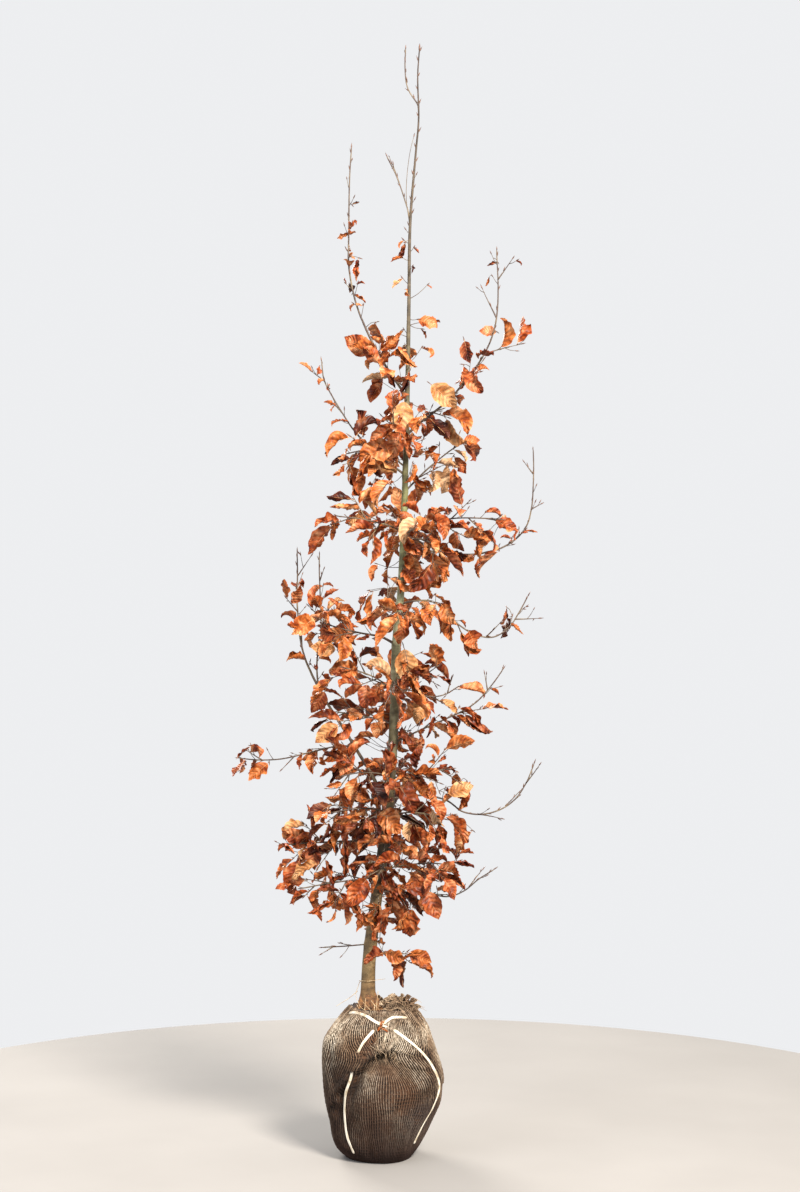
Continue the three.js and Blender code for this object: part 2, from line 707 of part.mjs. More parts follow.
// A side twig: three-sided, and drawn to a point inside the stem and at its tip.
function twigSolid(line) {
  const ahead = directionOn(line, 0.5);
  const up = across(ahead, new THREE.Vector3(0.3, -1, 0.1));
  const side = ahead.clone().cross(up);
  const swell = [0, 120, 240].map((angle) =>
    pointOn(line, TWIG.swell)
      .addScaledVector(up, TWIG.radius * Math.cos(angle * RADIANS))
      .addScaledVector(side, TWIG.radius * Math.sin(angle * RADIANS)),
  );
  return loft([[line[0]], swell, [line[line.length - 1]]]);
}

// A spray: side twigs off the limb's stem at a set turn, leaves along them and along the stem.
function grownSpray(limb) {
  const draw = seeded(limb.seed);
  const begin = Math.max(limb.enter, limb.clear);
  const isBare = (along) => limb.bare.some(([from, to]) => along > from && along <= to);
  const twigs = [];
  const leaves = [];
  const plane = across(directionOn(limb.line, 0.5), new THREE.Vector3(0, 0, 1));
  for (let i = 0; i < limb.twigs; i += 1) {
    const share = (i + 0.6) / limb.twigs;
    const along = begin + (1 - begin) * (TWIG.first + (TWIG.last - TWIG.first) * share);
    const root = pointOn(limb.line, along);
    const ahead = directionOn(limb.line, along);
    for (let turn = 0; turn < TRIES; turn += 1) {
      const angle = (90 + i * limb.turn) * RADIANS + draw(-TWIG.stray, TWIG.stray) + turn * TWIG.retry;
      const level = across(ahead, plane);
      const side = ahead.clone().cross(level);
      const outward = level.clone().multiplyScalar(Math.cos(angle)).addScaledVector(side, Math.sin(angle));
      const stand = draw(...TWIG.stand);
      const direction = ahead
        .clone()
        .multiplyScalar(Math.cos(stand))
        .addScaledVector(outward, Math.sin(stand));
      const reach = limb.spread * draw(...TWIG.reaches) * (1 - TWIG.shorter * share);
      const line = [root, root.clone().addScaledVector(direction, reach)];
      const balls = ballsAlong(line, twigRadius, 0.25, 7);
      if (!isFree(balls, limb.name, 0)) continue;
      claim(balls, limb.name);
      twigs.push(line);
      if (isBare(along)) break;
      const pitch = limb.pitch * TWIG.closeness;
      leaves.push(...leavesAlong(limb, line, TWIG.leafless, pitch, ahead, () => false, draw));
      break;
    }
  }
  const from = begin + TWIG.first * (1 - begin);
  const aside = heading(limb.bearing[0] + 90, 0);
  leaves.push(...leavesAlong(limb, limb.line, from, limb.pitch, aside, isBare, draw));
  return { twigs, leaves };
}

// ---- Assembly -----------------------------------------------------------------------------------

const trunkCutter = trunkSolid(GAP);
addNode("trunk", trunkSolid(0), FINISH.bark);

let ball = ballBody().subtract(trunkCutter);
for (const [name, route] of Object.entries(TWINE_ROUTES)) {
  const strand = twineSolid(route, 0).subtract(trunkCutter);
  ball = ball.subtract(twineSolid(route, GAP));
  addNode(name, wholeOf(strand), FINISH.twine);
}
addNode("root_ball", wholeOf(ball), FINISH.hessian);

claim(ballsAlong(trunkLine, (along) => trunkRadius(pointOn(trunkLine, along).z), 0, 8), "trunk");
for (const name of Object.keys(LIMBS)) {
  const limb = laidOutLimb(name);
  const stem = stretch(limb.line, limb.enter, 1);
  const bough = stretch(limb.line, 0, limb.enter);
  claim(ballsAlong(stem, limb.radiusAt, limb.enter ? 0 : limb.clear, 7), name);
  if (limb.enter) claim(ballsAlong(bough, limb.radiusAt, limb.clear, 7), `${name}_bough`);
}

for (const limb of limbs.values()) {
  const parent = limbs.get(limb.on);
  const cutter = parent
    ? limbSolid(parent.line, (along) => parent.radiusAt(along) + GAP, BOUGH.sides).add(trunkCutter)
    : trunkCutter;
  if (limb.enter) {
    const line = stretch(limb.line, 0, limb.enter);
    const radiusAt = (along) => limb.radiusAt(along * limb.enter);
    const bough = limbSolid(line, radiusAt, BOUGH.sides).subtract(cutter);
    addNode(`bough_${limb.name}`, wholeOf(bough), FINISH.bark);
  }
  const start = limb.enter ? limb.enter + GAP / limb.reach : 0;
  const stem = stretch(limb.line, start, 1);
  let mass = limbSolid(stem, (along) => limb.radiusAt(start + along * (1 - start)), BOUGH.stemSides);
  const { twigs, leaves } = grownSpray(limb);
  for (const twig of twigs) mass = mass.add(twigSolid(twig));
  for (const leaf of leaves) mass = mass.add(leafSolid(leaf));
  addNode(`spray_${limb.name}`, wholeOf(limb.enter ? mass : mass.subtract(cutter)), FINISH.leaf);
}

export default group;
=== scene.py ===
"""A young copper beech in dry winter leaf, lifted with its root ball, which is wrapped in hessian and tied
with flat twine. Sizes are in millimetres, +Z up, and turn into metres where a mesh is made. The origin is
the middle of the ball's flat underside. A bearing is counted in degrees from +X towards +Y."""

import math
from types import SimpleNamespace

import bpy
import numpy as np
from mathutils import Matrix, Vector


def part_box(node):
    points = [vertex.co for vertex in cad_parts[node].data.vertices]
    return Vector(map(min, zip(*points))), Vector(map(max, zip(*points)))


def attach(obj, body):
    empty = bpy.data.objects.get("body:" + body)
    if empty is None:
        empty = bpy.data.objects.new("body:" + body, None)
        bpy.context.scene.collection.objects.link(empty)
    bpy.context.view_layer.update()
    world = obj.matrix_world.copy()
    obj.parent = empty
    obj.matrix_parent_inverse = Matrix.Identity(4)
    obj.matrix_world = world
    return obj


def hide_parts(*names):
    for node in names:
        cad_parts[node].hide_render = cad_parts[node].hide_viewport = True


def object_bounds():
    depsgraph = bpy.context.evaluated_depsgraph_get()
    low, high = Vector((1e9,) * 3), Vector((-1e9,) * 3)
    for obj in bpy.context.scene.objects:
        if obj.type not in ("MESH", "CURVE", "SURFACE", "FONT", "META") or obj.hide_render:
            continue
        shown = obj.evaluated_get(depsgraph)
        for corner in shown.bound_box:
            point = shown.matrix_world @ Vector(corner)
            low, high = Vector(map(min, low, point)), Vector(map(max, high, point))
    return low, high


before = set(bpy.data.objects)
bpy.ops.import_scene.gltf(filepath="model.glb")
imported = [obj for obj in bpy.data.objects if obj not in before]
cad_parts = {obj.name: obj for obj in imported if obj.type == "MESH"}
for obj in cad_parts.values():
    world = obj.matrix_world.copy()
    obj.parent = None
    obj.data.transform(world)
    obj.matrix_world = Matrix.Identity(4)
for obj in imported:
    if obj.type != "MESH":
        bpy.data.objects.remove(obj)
cad_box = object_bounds()

# ---- Driving dimensions --------------------------------------------------------------------------

MM = 0.001
GAP = 0.3  # clearance that every claim of space keeps
FAR = 1e9  # further than anything

TRUNK = dict(
    foot=322,  # the flat cut at soil level, inside the neck of the hessian
    tip=2502,
    tip_radius=1.4,
    butt_radius=15.6,
    taper_power=1.25,
    flare_radius=9,  # added at the foot, where the roots spread
    flare_fade=20,
)

# The trunk's middle line, as [height, to the right, to the back]: it leans, then straightens.
TRUNK_LINE = [
    [322, -36, 0], [430, -33, 0], [517, -24, 2], [620, -10, 4], [731, 6, 3], [860, 17, -1], [1024, 26, -3],
    [1160, 29, 0], [1270, 39, 3], [1474, 47, 2], [1699, 53, -2], [1924, 57, -2], [2099, 60, 1],
    [2260, 73, 2], [2330, 79, 1], [2430, 77, -1], [2502, 82, 0],
]

# The ball's outline, as [height, reach to the right, to the left, to front and back].
BALL_OUTLINE = [
    [0, 60, 82, 74], [12, 68, 95, 86], [88, 106, 118, 112], [135, 127, 127, 121], [180, 132, 131, 125],
    [225, 123, 132, 124], [262, 108, 127, 116], [292, 95, 107, 100], [320, 74, 84, 80], [340, 52, 66, 58],
    [358, 24, 54, 36],
]
# The hessian is drawn in at one place on the front: [bearing, height], and how far and how deep.
BALL_PINCH = dict(bearing=268, height=246, spread=26, length=62, depth=15)
BALL_LOBES = dict(count=5, depth=3)

# The twine's section, as [out, sideways] in half widths: flat, with two grooves along it.
TWINE_SECTION = [
    [0.26, -0.9], [0.34, -0.55], [0.22, -0.33], [0.36, 0], [0.22, 0.33], [0.34, 0.55], [0.26, 0.9],
    [0, 1.0], [-0.26, 0.85], [-0.3, 0], [-0.26, -0.85], [0, -1.0],
]
TWINE = dict(width=6.4, thickness=2.2, step=3, sunk=0.7, over_threads=2.2)
# Each strand runs on the ball's face through [bearing, height].
TWINE_ROUTES = dict(
    twine_shoulder=[[198, 323], [214, 328], [242, 326], [267, 311], [286, 323], [312, 321]],
    twine_left=[
        [258, 299], [249, 273], [243, 238], [238, 197], [230, 158], [226, 110], [227, 60], [232, 22],
    ],
    twine_right=[
        [285, 300], [301, 278], [313, 256], [325, 218], [335, 167], [331, 125], [327, 84], [323, 40],
    ],
    twine_back=[[20, 300], [40, 262], [62, 205], [78, 140], [84, 80], [88, 26]],
)

# Angles of leaves and twigs are in radians, and a pair is the range that each one is drawn from.
LEAF = dict(
    length=90,
    sizes=(0.62, 1.08),  # of that length
    width=0.6,  # of its length
    widest=0.84,  # under 1, the blade is widest nearer the stalk than the tip
    fullness=0.75,  # under 1, its oval is rounder
    stalk=0.09,  # of its length
    stalk_radius=0.8,
    stand=(0.5, 1.1),  # off its twig
    stray=0.3,
    roll=(-1, 1),
    fold=(0.1, 0.85),  # of each half, up from the middle rib
    curl=(-0.3, 1.1),
    twist=(-0.7, 0.7),
    last=0.97,  # where the end leaf of a twig sits
    ball_rows=(0.2, 0.38, 0.56, 0.74, 0.92),  # the balls that keep its space, along it
    ball_columns=(-0.62, 0, 0.62),  # and across it
    ball=0.125,  # their radius, of its length
)

TWIG = dict(
    radius=1.6,
    tip_radius=0.5,
    swell=0.14,  # where it is widest; its foot is inside the stem
    first=0.05,  # the stretch of the stem that bears twigs
    last=0.92,
    leafless=0.3,  # of its length, at its foot
    closeness=0.8,  # its leaves sit this much closer than those on the stem
    stand=(0.55, 0.95),  # off the stem
    stray=0.38,
    retry=0.87,  # turn about the stem from one try to the next
    reaches=(0.75, 1.15),  # of the spray's spread
    shorter=0.35,  # those at the spray's tip, against those at its foot
)
BOUGH = dict(step=42, tip_radius=1.4, taper=0.8)
OWN_SHARE = 0.9  # how close two leaves of one spray may come, against leaves of two sprays
CROWN_SEED = 5  # sets every turn and size that the rule leaves open
# What is added to that, or to a limb's number, for each further sequence of turns and sizes.
SEEDS = dict(spurs=500, leaves=600, boughs=700, twigs=800, trunk=900, hung=950, bleached=1200, fallen=1800)
CLOTH_SEEDS = dict(threads=77, neck=91, pinch=63, collar=57)
TRIES = 9  # turns that a leaf or a twig is given before it is skipped

# Every limb: at is the height where it leaves the trunk, or the share of its parent's length; bearing
# and rise are its directions in degrees at even steps along it; reach is its length; twigs and spread are
# its side twigs' number and length. Where it isn't typical: on is its parent, girth its radius at the
# foot, enter the share of it that is a bare bough before the spray of leaves begins, turn the degrees
# about the stem from one twig to the next, pitch the way from leaf to leaf, bare the leafless stretches,
# droop how the leaves hang and size how large they are.
LIMB_COLUMNS = ("at", "bearing", "rise", "reach", "twigs", "spread")
TYPICAL = dict(on="trunk", girth=2, enter=0, turn=137.5, pitch=24, droop=0.25, size=1, bare=[])
LIMBS = {
    "leader_high": [2362, [185], [45, 82, 96], 133, 0, 60, dict(girth=1.5, bare=[[0, 1]])],
    "leader_low": [2104, [178], [78, 70, 62], 152, 1, 140, dict(girth=1.5, bare=[[0, 1]])],
    "left_shoot": [
        1705, [186, 180], [52, 60, 72, 90, 91, 94], 590, 1, 44,
        dict(girth=3, enter=0.34, pitch=42, size=0.5, bare=[[0.7, 1]]),
    ],
    "left_shoot_foot": [1722, [215, 186], [30, 52], 100, 3, 56, {}],
    "right_branch": [
        1620, [-14, 0], [41, 35, 50, 57, 80, 92, 92], 490, 4, 94,
        dict(girth=3, enter=0.2, pitch=38, bare=[[0.6, 1]]),
    ],
    "left_mid": [
        1530, [172, 178], [36, 36, 50, 58, 62, 92], 332, 2, 48,
        dict(girth=2.6, enter=0.44, pitch=46, size=0.45),
    ],
    "upper_left": [1548, [215, 184], [34, 24, 0, -20], 150, 4, 68, {}],
    "upper_right": [1640, [-25], [34, 10], 92, 2, 56, dict(size=1.1)],
    "upper_right_twig": [1492, [8, 0], [46, 42, 28], 182, 3, 56, dict(girth=2.2, droop=0.9)],
    "upper_back": [1560, [80, 100], [45, 30, 20], 160, 3, 72, {}],
    "upper_front": [1588, [250], [56, 30, -10], 120, 3, 62, {}],
    "middle_left": [1400, [236, 182], [20, 10, 6], 172, 4, 74, {}],
    "middle_right": [1396, [-30, 0], [26, 14, 0, -6], 232, 5, 86, {}],
    "right_low_long": [
        1366, [12, 4], [-8, -6, -4, 16, 42, 84, 88, 93], 482, 3, 44,
        dict(girth=2.8, enter=0.42, pitch=60, size=0.45, bare=[[0.6, 1]]),
    ],
    "middle_front": [1372, [290, 325], [25, -5, -40], 150, 4, 64, dict(droop=0.8)],
    "middle_back": [1395, [95, 80], [20, 10, 0], 175, 4, 78, {}],
    "waist_right": [
        1240, [-22, 0], [14, 4, -42, -42, -20, 30, 61, 62], 364, 4, 68,
        dict(girth=2.2, droop=0.8, bare=[[0.5, 0.74], [0.92, 1]]),
    ],
    "waist_left": [1148, [200, 180], [36, 10, 12, 20], 172, 5, 82, dict(girth=3, enter=0.32)],
    "waist_front": [1204, [282, 262], [34, 4, -34], 112, 3, 62, dict(droop=0.5)],
    "waist_back": [1190, [85, 100], [35, 20, 10], 180, 4, 74, {}],
    "lower_left_high": [1036, [232, 186], [40, 25, 10], 150, 4, 68, {}],
    "lower_right_high": [1078, [-50, -25], [25, 0, -25], 110, 3, 64, {}],
    "lower_right_twig": [1050, [10, 0], [0, -25, 10, 40], 150, 3, 54, dict(girth=1.7, droop=0.6)],
    "lower_front": [1046, [268], [40, 0, -40], 115, 4, 64, dict(droop=0.6)],
    "lower_left": [968, [180, 186], [20, 12, 6], 135, 4, 74, {}],
    "right_twig": [
        925, [-8, 0], [28, 26, 22, 30, 50, 58], 305, 3, 68,
        dict(girth=2.2, droop=0.7, bare=[[0.62, 1]], size=0.9),
    ],
    "lower_back": [1010, [95, 85], [25, 12, 0], 180, 4, 78, {}],
    "left_long": [
        784, [172, 180], [62, 60, 57, 58, 66, 84, 90, 90], 624, 3, 70,
        dict(girth=4.6, enter=0.56, pitch=32, size=0.75, bare=[[0.9, 1]]),
    ],
    "left_fork": [
        0.5, [160, 10, 190, 180], [84, 80, 88, 90], 300, 3, 64,
        dict(on="left_long", girth=2.2, pitch=36, size=0.8, bare=[[0.75, 1]]),
    ],
    "left_twig": [
        0.25, [190, 180], [8, -12, -14, -10, 0, 10], 262, 3, 56,
        dict(on="left_long", girth=1.9, pitch=30, droop=0.9, size=0.85, bare=[[0.42, 0.8]]),
    ],
    "low_left": [852, [238, 188], [16, 4, -15], 140, 4, 72, {}],
    "low_right": [846, [-48, -8], [16, 10, 6], 158, 4, 74, {}],
    "right_long": [
        800, [12, 0], [8, 6, -8, -38, -10, 17, 40, 64, 72], 398, 3, 86,
        dict(girth=2.4, enter=0.4, turn=180, bare=[[0, 1]]),
    ],
    "low_front": [838, [258, 282], [26, 2, -30], 120, 3, 66, dict(droop=0.4)],
    "low_back": [850, [85, 95], [15, 5, -5], 175, 4, 78, {}],
    "foot_left_high": [768, [240, 182], [20, 4, -16], 155, 4, 70, {}],
    "foot_left": [712, [192, 186], [-6, 0, -6], 232, 5, 82, dict(girth=3, enter=0.22)],
    "foot_right_high": [756, [-58, -6], [24, 4, -20], 156, 5, 74, dict(droop=0.8)],
    "foot_back": [700, [100, 88], [15, 5, -10], 180, 4, 78, {}],
    "foot_right": [640, [-30, -4], [16, 8, -10], 172, 5, 80, {}],
    "foot_left_low": [622, [215, 184], [4, -6, -10], 185, 4, 72, dict(size=0.9)],
    "foot_right_twig": [
        590, [8, 0], [6, -6, -8, 40, 30], 282, 2, 78,
        dict(girth=1.9, turn=180, bare=[[0, 1]]),
    ],
    "foot_front": [640, [285, 250], [30, 0, -30], 120, 4, 70, dict(droop=0.5)],
    "lowest_left_twig": [474, [180], [-4], 108, 2, 44, dict(girth=1.5, bare=[[0, 1]])],
    "lowest_right": [452, [-42, -15], [12, 8, -10], 92, 2, 52, {}],
}

# What the rule carries on with in finer wood: short spurs off the stems and side twigs, each with a bud
# at its end, and on some a small leaf. A bare stretch bears mostly buds, and here and there a remnant
# of a leaf.
SPUR = dict(
    pitch=20,
    lengths=(6, 32),
    radius=0.9,
    tip_radius=0.55,
    stand=(0.5, 1.0),
    lift=0.35,  # how far its end turns up
    leafy=0.8,  # the share of spurs with a leaf, where leaves grow
    remnant=0.1,  # and on a bare stretch
    bare=0.3,  # the share of spurs on a bare stretch, where the rest are buds on the stem
    sizes=(0.55, 0.98),  # of the spray's own leaves
    remnant_sizes=(0.24, 0.42),
    closeness=0.55,  # these small leaves may come this much closer to others
    droop=0.3,  # how much more they hang
)
# Spurs straight off the trunk that bear leaves close to it: [from height, to height, how many].
TRUNK_TUFTS = [
    [548, 602, 9], [640, 850, 46], [850, 1040, 13], [896, 940, 8], [1000, 1038, 5], [1098, 1130, 4],
    [1290, 1340, 5], [1335, 1450, 17], [1470, 1562, 3], [1562, 1715, 13], [1770, 1830, 4],
]
TUFT = dict(lengths=(12, 62), rise=(-35, 50), sizes=(0.6, 1.05), closeness=0.5, droop=0.6)
# Groups of leaves that hang close about the wood: [right, back, height, how far about, how many].
GROUPS = [
    [41, -25, 566, 52, 20], [100, -15, 616, 42, 9], [-75, -30, 723, 42, 12], [-86, -20, 782, 36, 7],
    [154, -10, 822, 30, 4], [-120, -10, 586, 34, 5], [10, -45, 546, 36, 8], [154, -10, 691, 32, 4],
    [104, -20, 1356, 36, 8], [199, -10, 1361, 34, 6], [59, -25, 1311, 34, 7], [104, -10, 1311, 30, 4],
    [-64, -20, 1199, 36, 5], [-30, -20, 1607, 34, 4], [109, -15, 975, 30, 4], [3, -10, 1837, 36, 3],
    [-48, -15, 1473, 32, 3], [37, -50, 825, 40, 8], [4, -60, 737, 36, 8],
]
# Leaves that show singly from in front: [right, back, height, the way its tip points in degrees up from
# the right, how far it turns from the front, its share of a full leaf, its tint, whether open or rolled].
SINGLE_LEAVES = [
    [41, -14, 2030, 250, 0.5, 0.5, "russet", "rolled"],
    [-60, -10, 1990, 262, 0.3, 0.62, "copper", "rolled"], [-91, -8, 2067, 200, 0.4, 0.36, "rust", "rolled"],
    [234, -20, 1852, 172, 0.5, 0.48, "copper", "open"], [187, -30, 1803, 282, 0.7, 0.66, "russet", "open"],
    [178, -30, 1745, 268, 0.4, 0.66, "copper", "rolled"], [135, -60, 1702, 318, 0.1, 0.95, "tan", "open"],
    [41, -52, 1652, 262, 0.2, 0.98, "tan", "open"], [-18, -70, 1577, 196, 0.3, 1.12, "rust", "open"],
    [1, -60, 1546, 330, 0.6, 0.9, "tan", "rolled"], [-63, -40, 1501, 285, 0.4, 0.85, "copper", "rolled"],
    [165, -30, 1506, 282, 0.5, 0.95, "rust", "rolled"], [-50, -20, 1652, 95, 0.5, 0.8, "russet", "rolled"],
    [199, -10, 1608, 8, 0.8, 0.48, "rust", "open"], [-57, -20, 1820, 150, 0.5, 0.9, "copper", "open"],
    [17, -30, 1826, 40, 0.8, 0.75, "rust", "rolled"], [10, -30, 1745, 300, 0.6, 0.7, "russet", "rolled"],
    [-128, -50, 952, 215, 0.2, 0.8, "tan", "open"], [-146, -40, 1019, 240, 0.5, 0.72, "russet", "open"],
    [173, -50, 828, 20, 0.4, 0.75, "tan", "open"], [214, -20, 968, 322, 0.9, 0.98, "russet", "rolled"],
    [-196, -30, 716, 152, 0.3, 0.86, "copper", "open"], [-157, -40, 675, 262, 0.5, 0.78, "russet", "open"],
    [-202, -30, 631, 248, 0.3, 0.9, "copper", "open"], [84, -40, 449, 335, 0.3, 0.74, "rust", "open"],
    [-281, -20, 863, 222, 0.4, 0.72, "rust", "open"], [271, -10, 1210, 255, 0.6, 0.5, "russet", "rolled"],
    [-135, -40, 1141, 172, 0.9, 0.72, "tan", "open"], [-85, -70, 889, 250, 0.3, 0.8, "copper", "open"],
    [53, -60, 1100, 280, 0.2, 1.0, "tan", "open"], [244, -6, 2004, 200, 0.4, 0.3, "russet", "rolled"],
    [233, -6, 1963, 250, 0.5, 0.26, "rust", "rolled"], [118, 0, 1874, 30, 0.9, 0.3, "chestnut", "rolled"],
    [48, -40, 1733, 250, 0.6, 0.7, "russet", "rolled"],
    [-62, -6, 2141, 20, 0.6, 0.22, "chestnut", "rolled"], [-53, -6, 1927, 330, 0.6, 0.42, "rust", "rolled"],
    [75, -60, 1049, 300, 0.4, 0.85, "rust", "rolled"], [110, -70, 572, 300, 0.3, 0.85, "copper", "open"],
    [59, -60, 526, 262, 0.2, 0.9, "copper", "open"], [-85, -80, 673, 275, 0.4, 0.9, "russet", "rolled"],
    [-70, -60, 571, 318, 0.5, 0.95, "copper", "rolled"],
]
# Scraps of dead leaf caught under the twine's knot: [bearing, height, the way its tip points, size].
SCRAPS = [[270, 307, 290, 0.31], [266, 303, 235, 0.25], [272, 298, 330, 0.24]]
HUNG = dict(sizes=(0.62, 1.02), closeness=0.42, longest=95)  # longest: how far one may hang from its wood
# Single spurs on the upper trunk, as [height, bearing, rise, length, leaf]: leaf is a share of a full one.
TRUNK_SPURS = [
    [2196, 4, 55, 7, 0], [2140, 350, 50, 7, 0], [2072, 196, 42, 8, 0], [2050, 170, 30, 10, 0.34],
    [2030, 330, 40, 10, 0.3], [2012, 205, 12, 12, 0.42], [1990, 300, 20, 8, 0.3], [1958, 184, 40, 14, 0.5],
    [1940, 260, 20, 10, 0.34], [1925, 2, 32, 44, 0.2], [1880, 348, -10, 14, 0.6], [1868, 10, -24, 26, 0.3],
    [1846, 120, 30, 16, 0.45], [1790, 95, 40, 18, 0.5], [1762, 10, 48, 12, 0], [1330, 10, 35, 20, 0],
    [1286, 352, 44, 46, 0.3], [560, 205, 20, 20, 0.55], [500, 320, -30, 12, 0],
]
# Buds that lie along the leader, as [height, bearing], and thin shoots beside it as points.
LEADER_BUDS = [
    [2484, 20], [2462, 205], [2428, 10], [2398, 190], [2366, 15], [2338, 200], [2302, 0], [2268, 185],
    [2236, 10], [2206, 195], [2176, 5], [2150, 190], [2118, 350], [2090, 200],
]
LEADER_SHOOTS = [
    [[57, -3, 2104], [51, -8, 2150], [53, -10, 2206], [60, -9, 2258], [68, -7, 2290]],
    [[63, -2, 2156], [66, -9, 2176], [66, -10, 2206]],
]
BUD = dict(
    length=(9, 14),
    end=17,  # the length of the leader's end bud
    radius=1.4,
    spur_bud=0.85,  # of a twig bud's length
    leaf_bud=0.66,
    lie=0.42,  # the angle of a bud off its stem
)
# Its girth from foot to tip: a slender spindle with a sharp point.
BUD_OUTLINE = [0.62, 0.95, 1.0, 0.7, 0.34, 0.06]

# How a dry blade is shaped beyond the source's plain one. Angles are in radians, depths in shares of
# the leaf's length.
BLADE = dict(
    veins=(7, 9),  # pairs of side veins
    lean=0.235,  # how far a vein runs towards the tip on its way to the margin
    pleat=(0.017, 0.03),  # the folds between veins
    wave=(0.025, 0.08),  # swing of the margin
    waves=(1.4, 3.4),  # swings along one margin
    crumple=(0.012, 0.045),  # the depth of two broad dents of the whole blade
    dents_along=(1.1, 3.2),  # their number along it
    dents_across=(0.7, 2.1),
    phase=(0, 6.3),  # where round its swing a wave begins
    lopsided=(-0.08, 0.08),
    rolled=0.46,  # the share of leaves whose margins roll right in, where the rest are half open
    roll_open=(-0.3, 0.3),  # how much more the margin is turned up than the middle
    roll_half_open=(-0.5, 1.0),
    roll_rolled=(1.2, 2.7),
    hook=(-0.6, 2.1),  # extra curl of the tip
    wring=(-0.9, 0.9),  # extra twist towards the tip
    hooked=0.5,  # where along the leaf the tip begins
    ragged=0.07,  # of the half width
    teeth=0.03,
    margin=0.85,  # how far out the troughs carry painted shade, of the half width
    rib_radius=0.6,
    rows_per_vein=4,
)
BLADE_COLUMNS = [0, 0.2, 0.46, 0.74, 1]  # from the middle rib to the margin
TROUGH_SHADE = 0.64  # the brightness of the blade's troughs, against its ridges: painted shade between the veins

# Dry tints of the winter leaf: [share of the leaves, dark, plain and light colour].
LEAF_TINTS = {
    "copper": [0.38, "#5c1f0a", "#9c4b20", "#c68c62"],
    "rust": [0.25, "#722f0e", "#ac5e2a", "#cf9a6c"],
    "russet": [0.20, "#421406", "#783416", "#a96b45"],
    "chestnut": [0.08, "#290b05", "#4e1d0d", "#7c492b"],
    "tan": [0.06, "#915428", "#b48050", "#d0a57a"],
    "buff": [0.03, "#997049", "#b68c66", "#c9a682"],
}
# From the low to the high one of these heights the dark tints give way to rust; the other way about, the
# pale ones give way to copper.
BLEACHED = dict(low=700, high=1500, dark_share=0.5, pale_share=0.85)

# Parts of the crown that have lost leaves: [right, up, reach, the share that fell].
FALLEN = [
    [260, 1800, 85, 0.6], [160, 1570, 90, 0.4], [240, 1420, 70, 0.45], [20, 1700, 60, 0.25],
    [-235, 1220, 75, 0.5], [-190, 1140, 60, 0.45], [130, 1070, 55, 0.5], [350, 1210, 50, 0.5],
    [127, 888, 50, 0.4], [-195, 660, 60, 0.3],
]

# Scars of lost boughs on the trunk: [height, bearing, radius].
SCARS = [
    [402, 250, 7], [452, 300, 6], [560, 262, 7], [604, 222, 5], [742, 285, 7], [905, 262, 7], [996, 236, 5],
    [1098, 290, 6], [1186, 240, 5], [1322, 306, 8], [1446, 250, 5], [1500, 90, 6], [1020, 80, 7],
    [690, 120, 7], [1680, 262, 4], [1850, 240, 3.5], [2010, 285, 3],
]

PER_DEGREE = math.radians(120)  # millimetres round the ball for each degree of bearing
# Creases of the hessian: [depth, width, hollow, lip, how far before its end it grows shallow, points as
# [bearing, height]]. The cloth on the right hand of one who walks along a crease stands out over it by
# its lip; hollow is its width on the left.
CREASES = [
    [25, 6, 27, 9, 34, [[270, 249], [259, 236], [249, 213], [239, 190], [225, 160], [214, 140]]],
    [8, 4.5, 5, 3, 1, [[267, 300], [260, 284], [258, 262], [263, 249]]],
    [5, 9, 12, 4, 1, [[318, 236], [300, 244], [284, 242], [270, 248]]],
    [4, 6, 8, 3, 1, [[322, 204], [300, 214], [282, 228], [270, 247]]],
    [3, 8, 9, 1, 1, [[268, 244], [276, 200], [284, 130], [288, 40]]],
    [3.5, 8, 9, 1, 1, [[264, 234], [259, 170], [255, 90], [254, 20]]],
    [4.5, 15, 26, 2, 1, [[342, 160], [318, 150], [300, 144], [286, 134]]],
    [3, 8, 9, 0, 1, [[304, 130], [310, 90], [308, 40]]],
    [3, 8, 8, 0, 1, [[208, 300], [204, 250], [208, 196], [218, 160]]],
    [5, 9, 12, 3, 1, [[150, 320], [140, 240], [146, 150]]],
    [4, 10, 10, 1, 1, [[100, 318], [104, 250], [96, 170]]],
    [5, 9, 12, 3, 1, [[52, 312], [44, 240], [36, 160]]],
    [3, 10, 10, 0, 1, [[8, 310], [2, 240], [8, 170]]],
]
# Small folds run out of the pinch like rays.
RAYS = dict(count=11, depth=3.2, begin=9, end=74)
# Stains of the cloth and patches of painted shade, as [middle, reach, how strong the stain is, its colour]:
# grey low on the right front and on the left back, rubbed brown with soil, and darker where shade falls.
STAINS_AND_PAINTED_SHADE = [
    [[96, -84, 84], 82, 0.5, "#5e5c5d"],
    [[-6, -124, 128], 78, 0.45, "#6b4528"],
    [[52, -112, 158], 52, 0.5, "#7a5030"],
    [[-72, -98, 240], 58, 0.4, "#6b4c30"],
    # painted shade: the ball's left side, turned away from the key lamp
    [[-118, -66, 140], 132, 0.7, "#38271c"],
    # painted shadow: the hollow under the deep crease below the pinch
    [[-76, -96, 180], 48, 0.88, "#241a13"],
    [[-30, -96, 276], 24, 0.8, "#6b4224"],
    # damp, and painted shade, low on the front
    [[-10, -124, 52], 84, 0.5, "#422c1f"],
    [[10, -120, 196], 46, 0.45, "#6b4a32"],
    [[96, 72, 190], 90, 0.5, "#6b4a2e"],
    [[-70, 96, 120], 90, 0.5, "#5f5648"],
]
GATHERS = dict(count=19, depth=3, from_height=250)  # small folds where the cloth narrows to its neck
SLACK = 1.6  # how far the cloth stands out between the strands that press it in
PRESSED = 1.2  # how far the strands press it in
# A fold of the cloth lies over one strand between two heights.
COVERED = dict(strand="twine_left", low=206, high=258, rise=7, width=12)
CLOTH_TOP = 334  # where the cloth is bound round the neck; its loose ends stand above

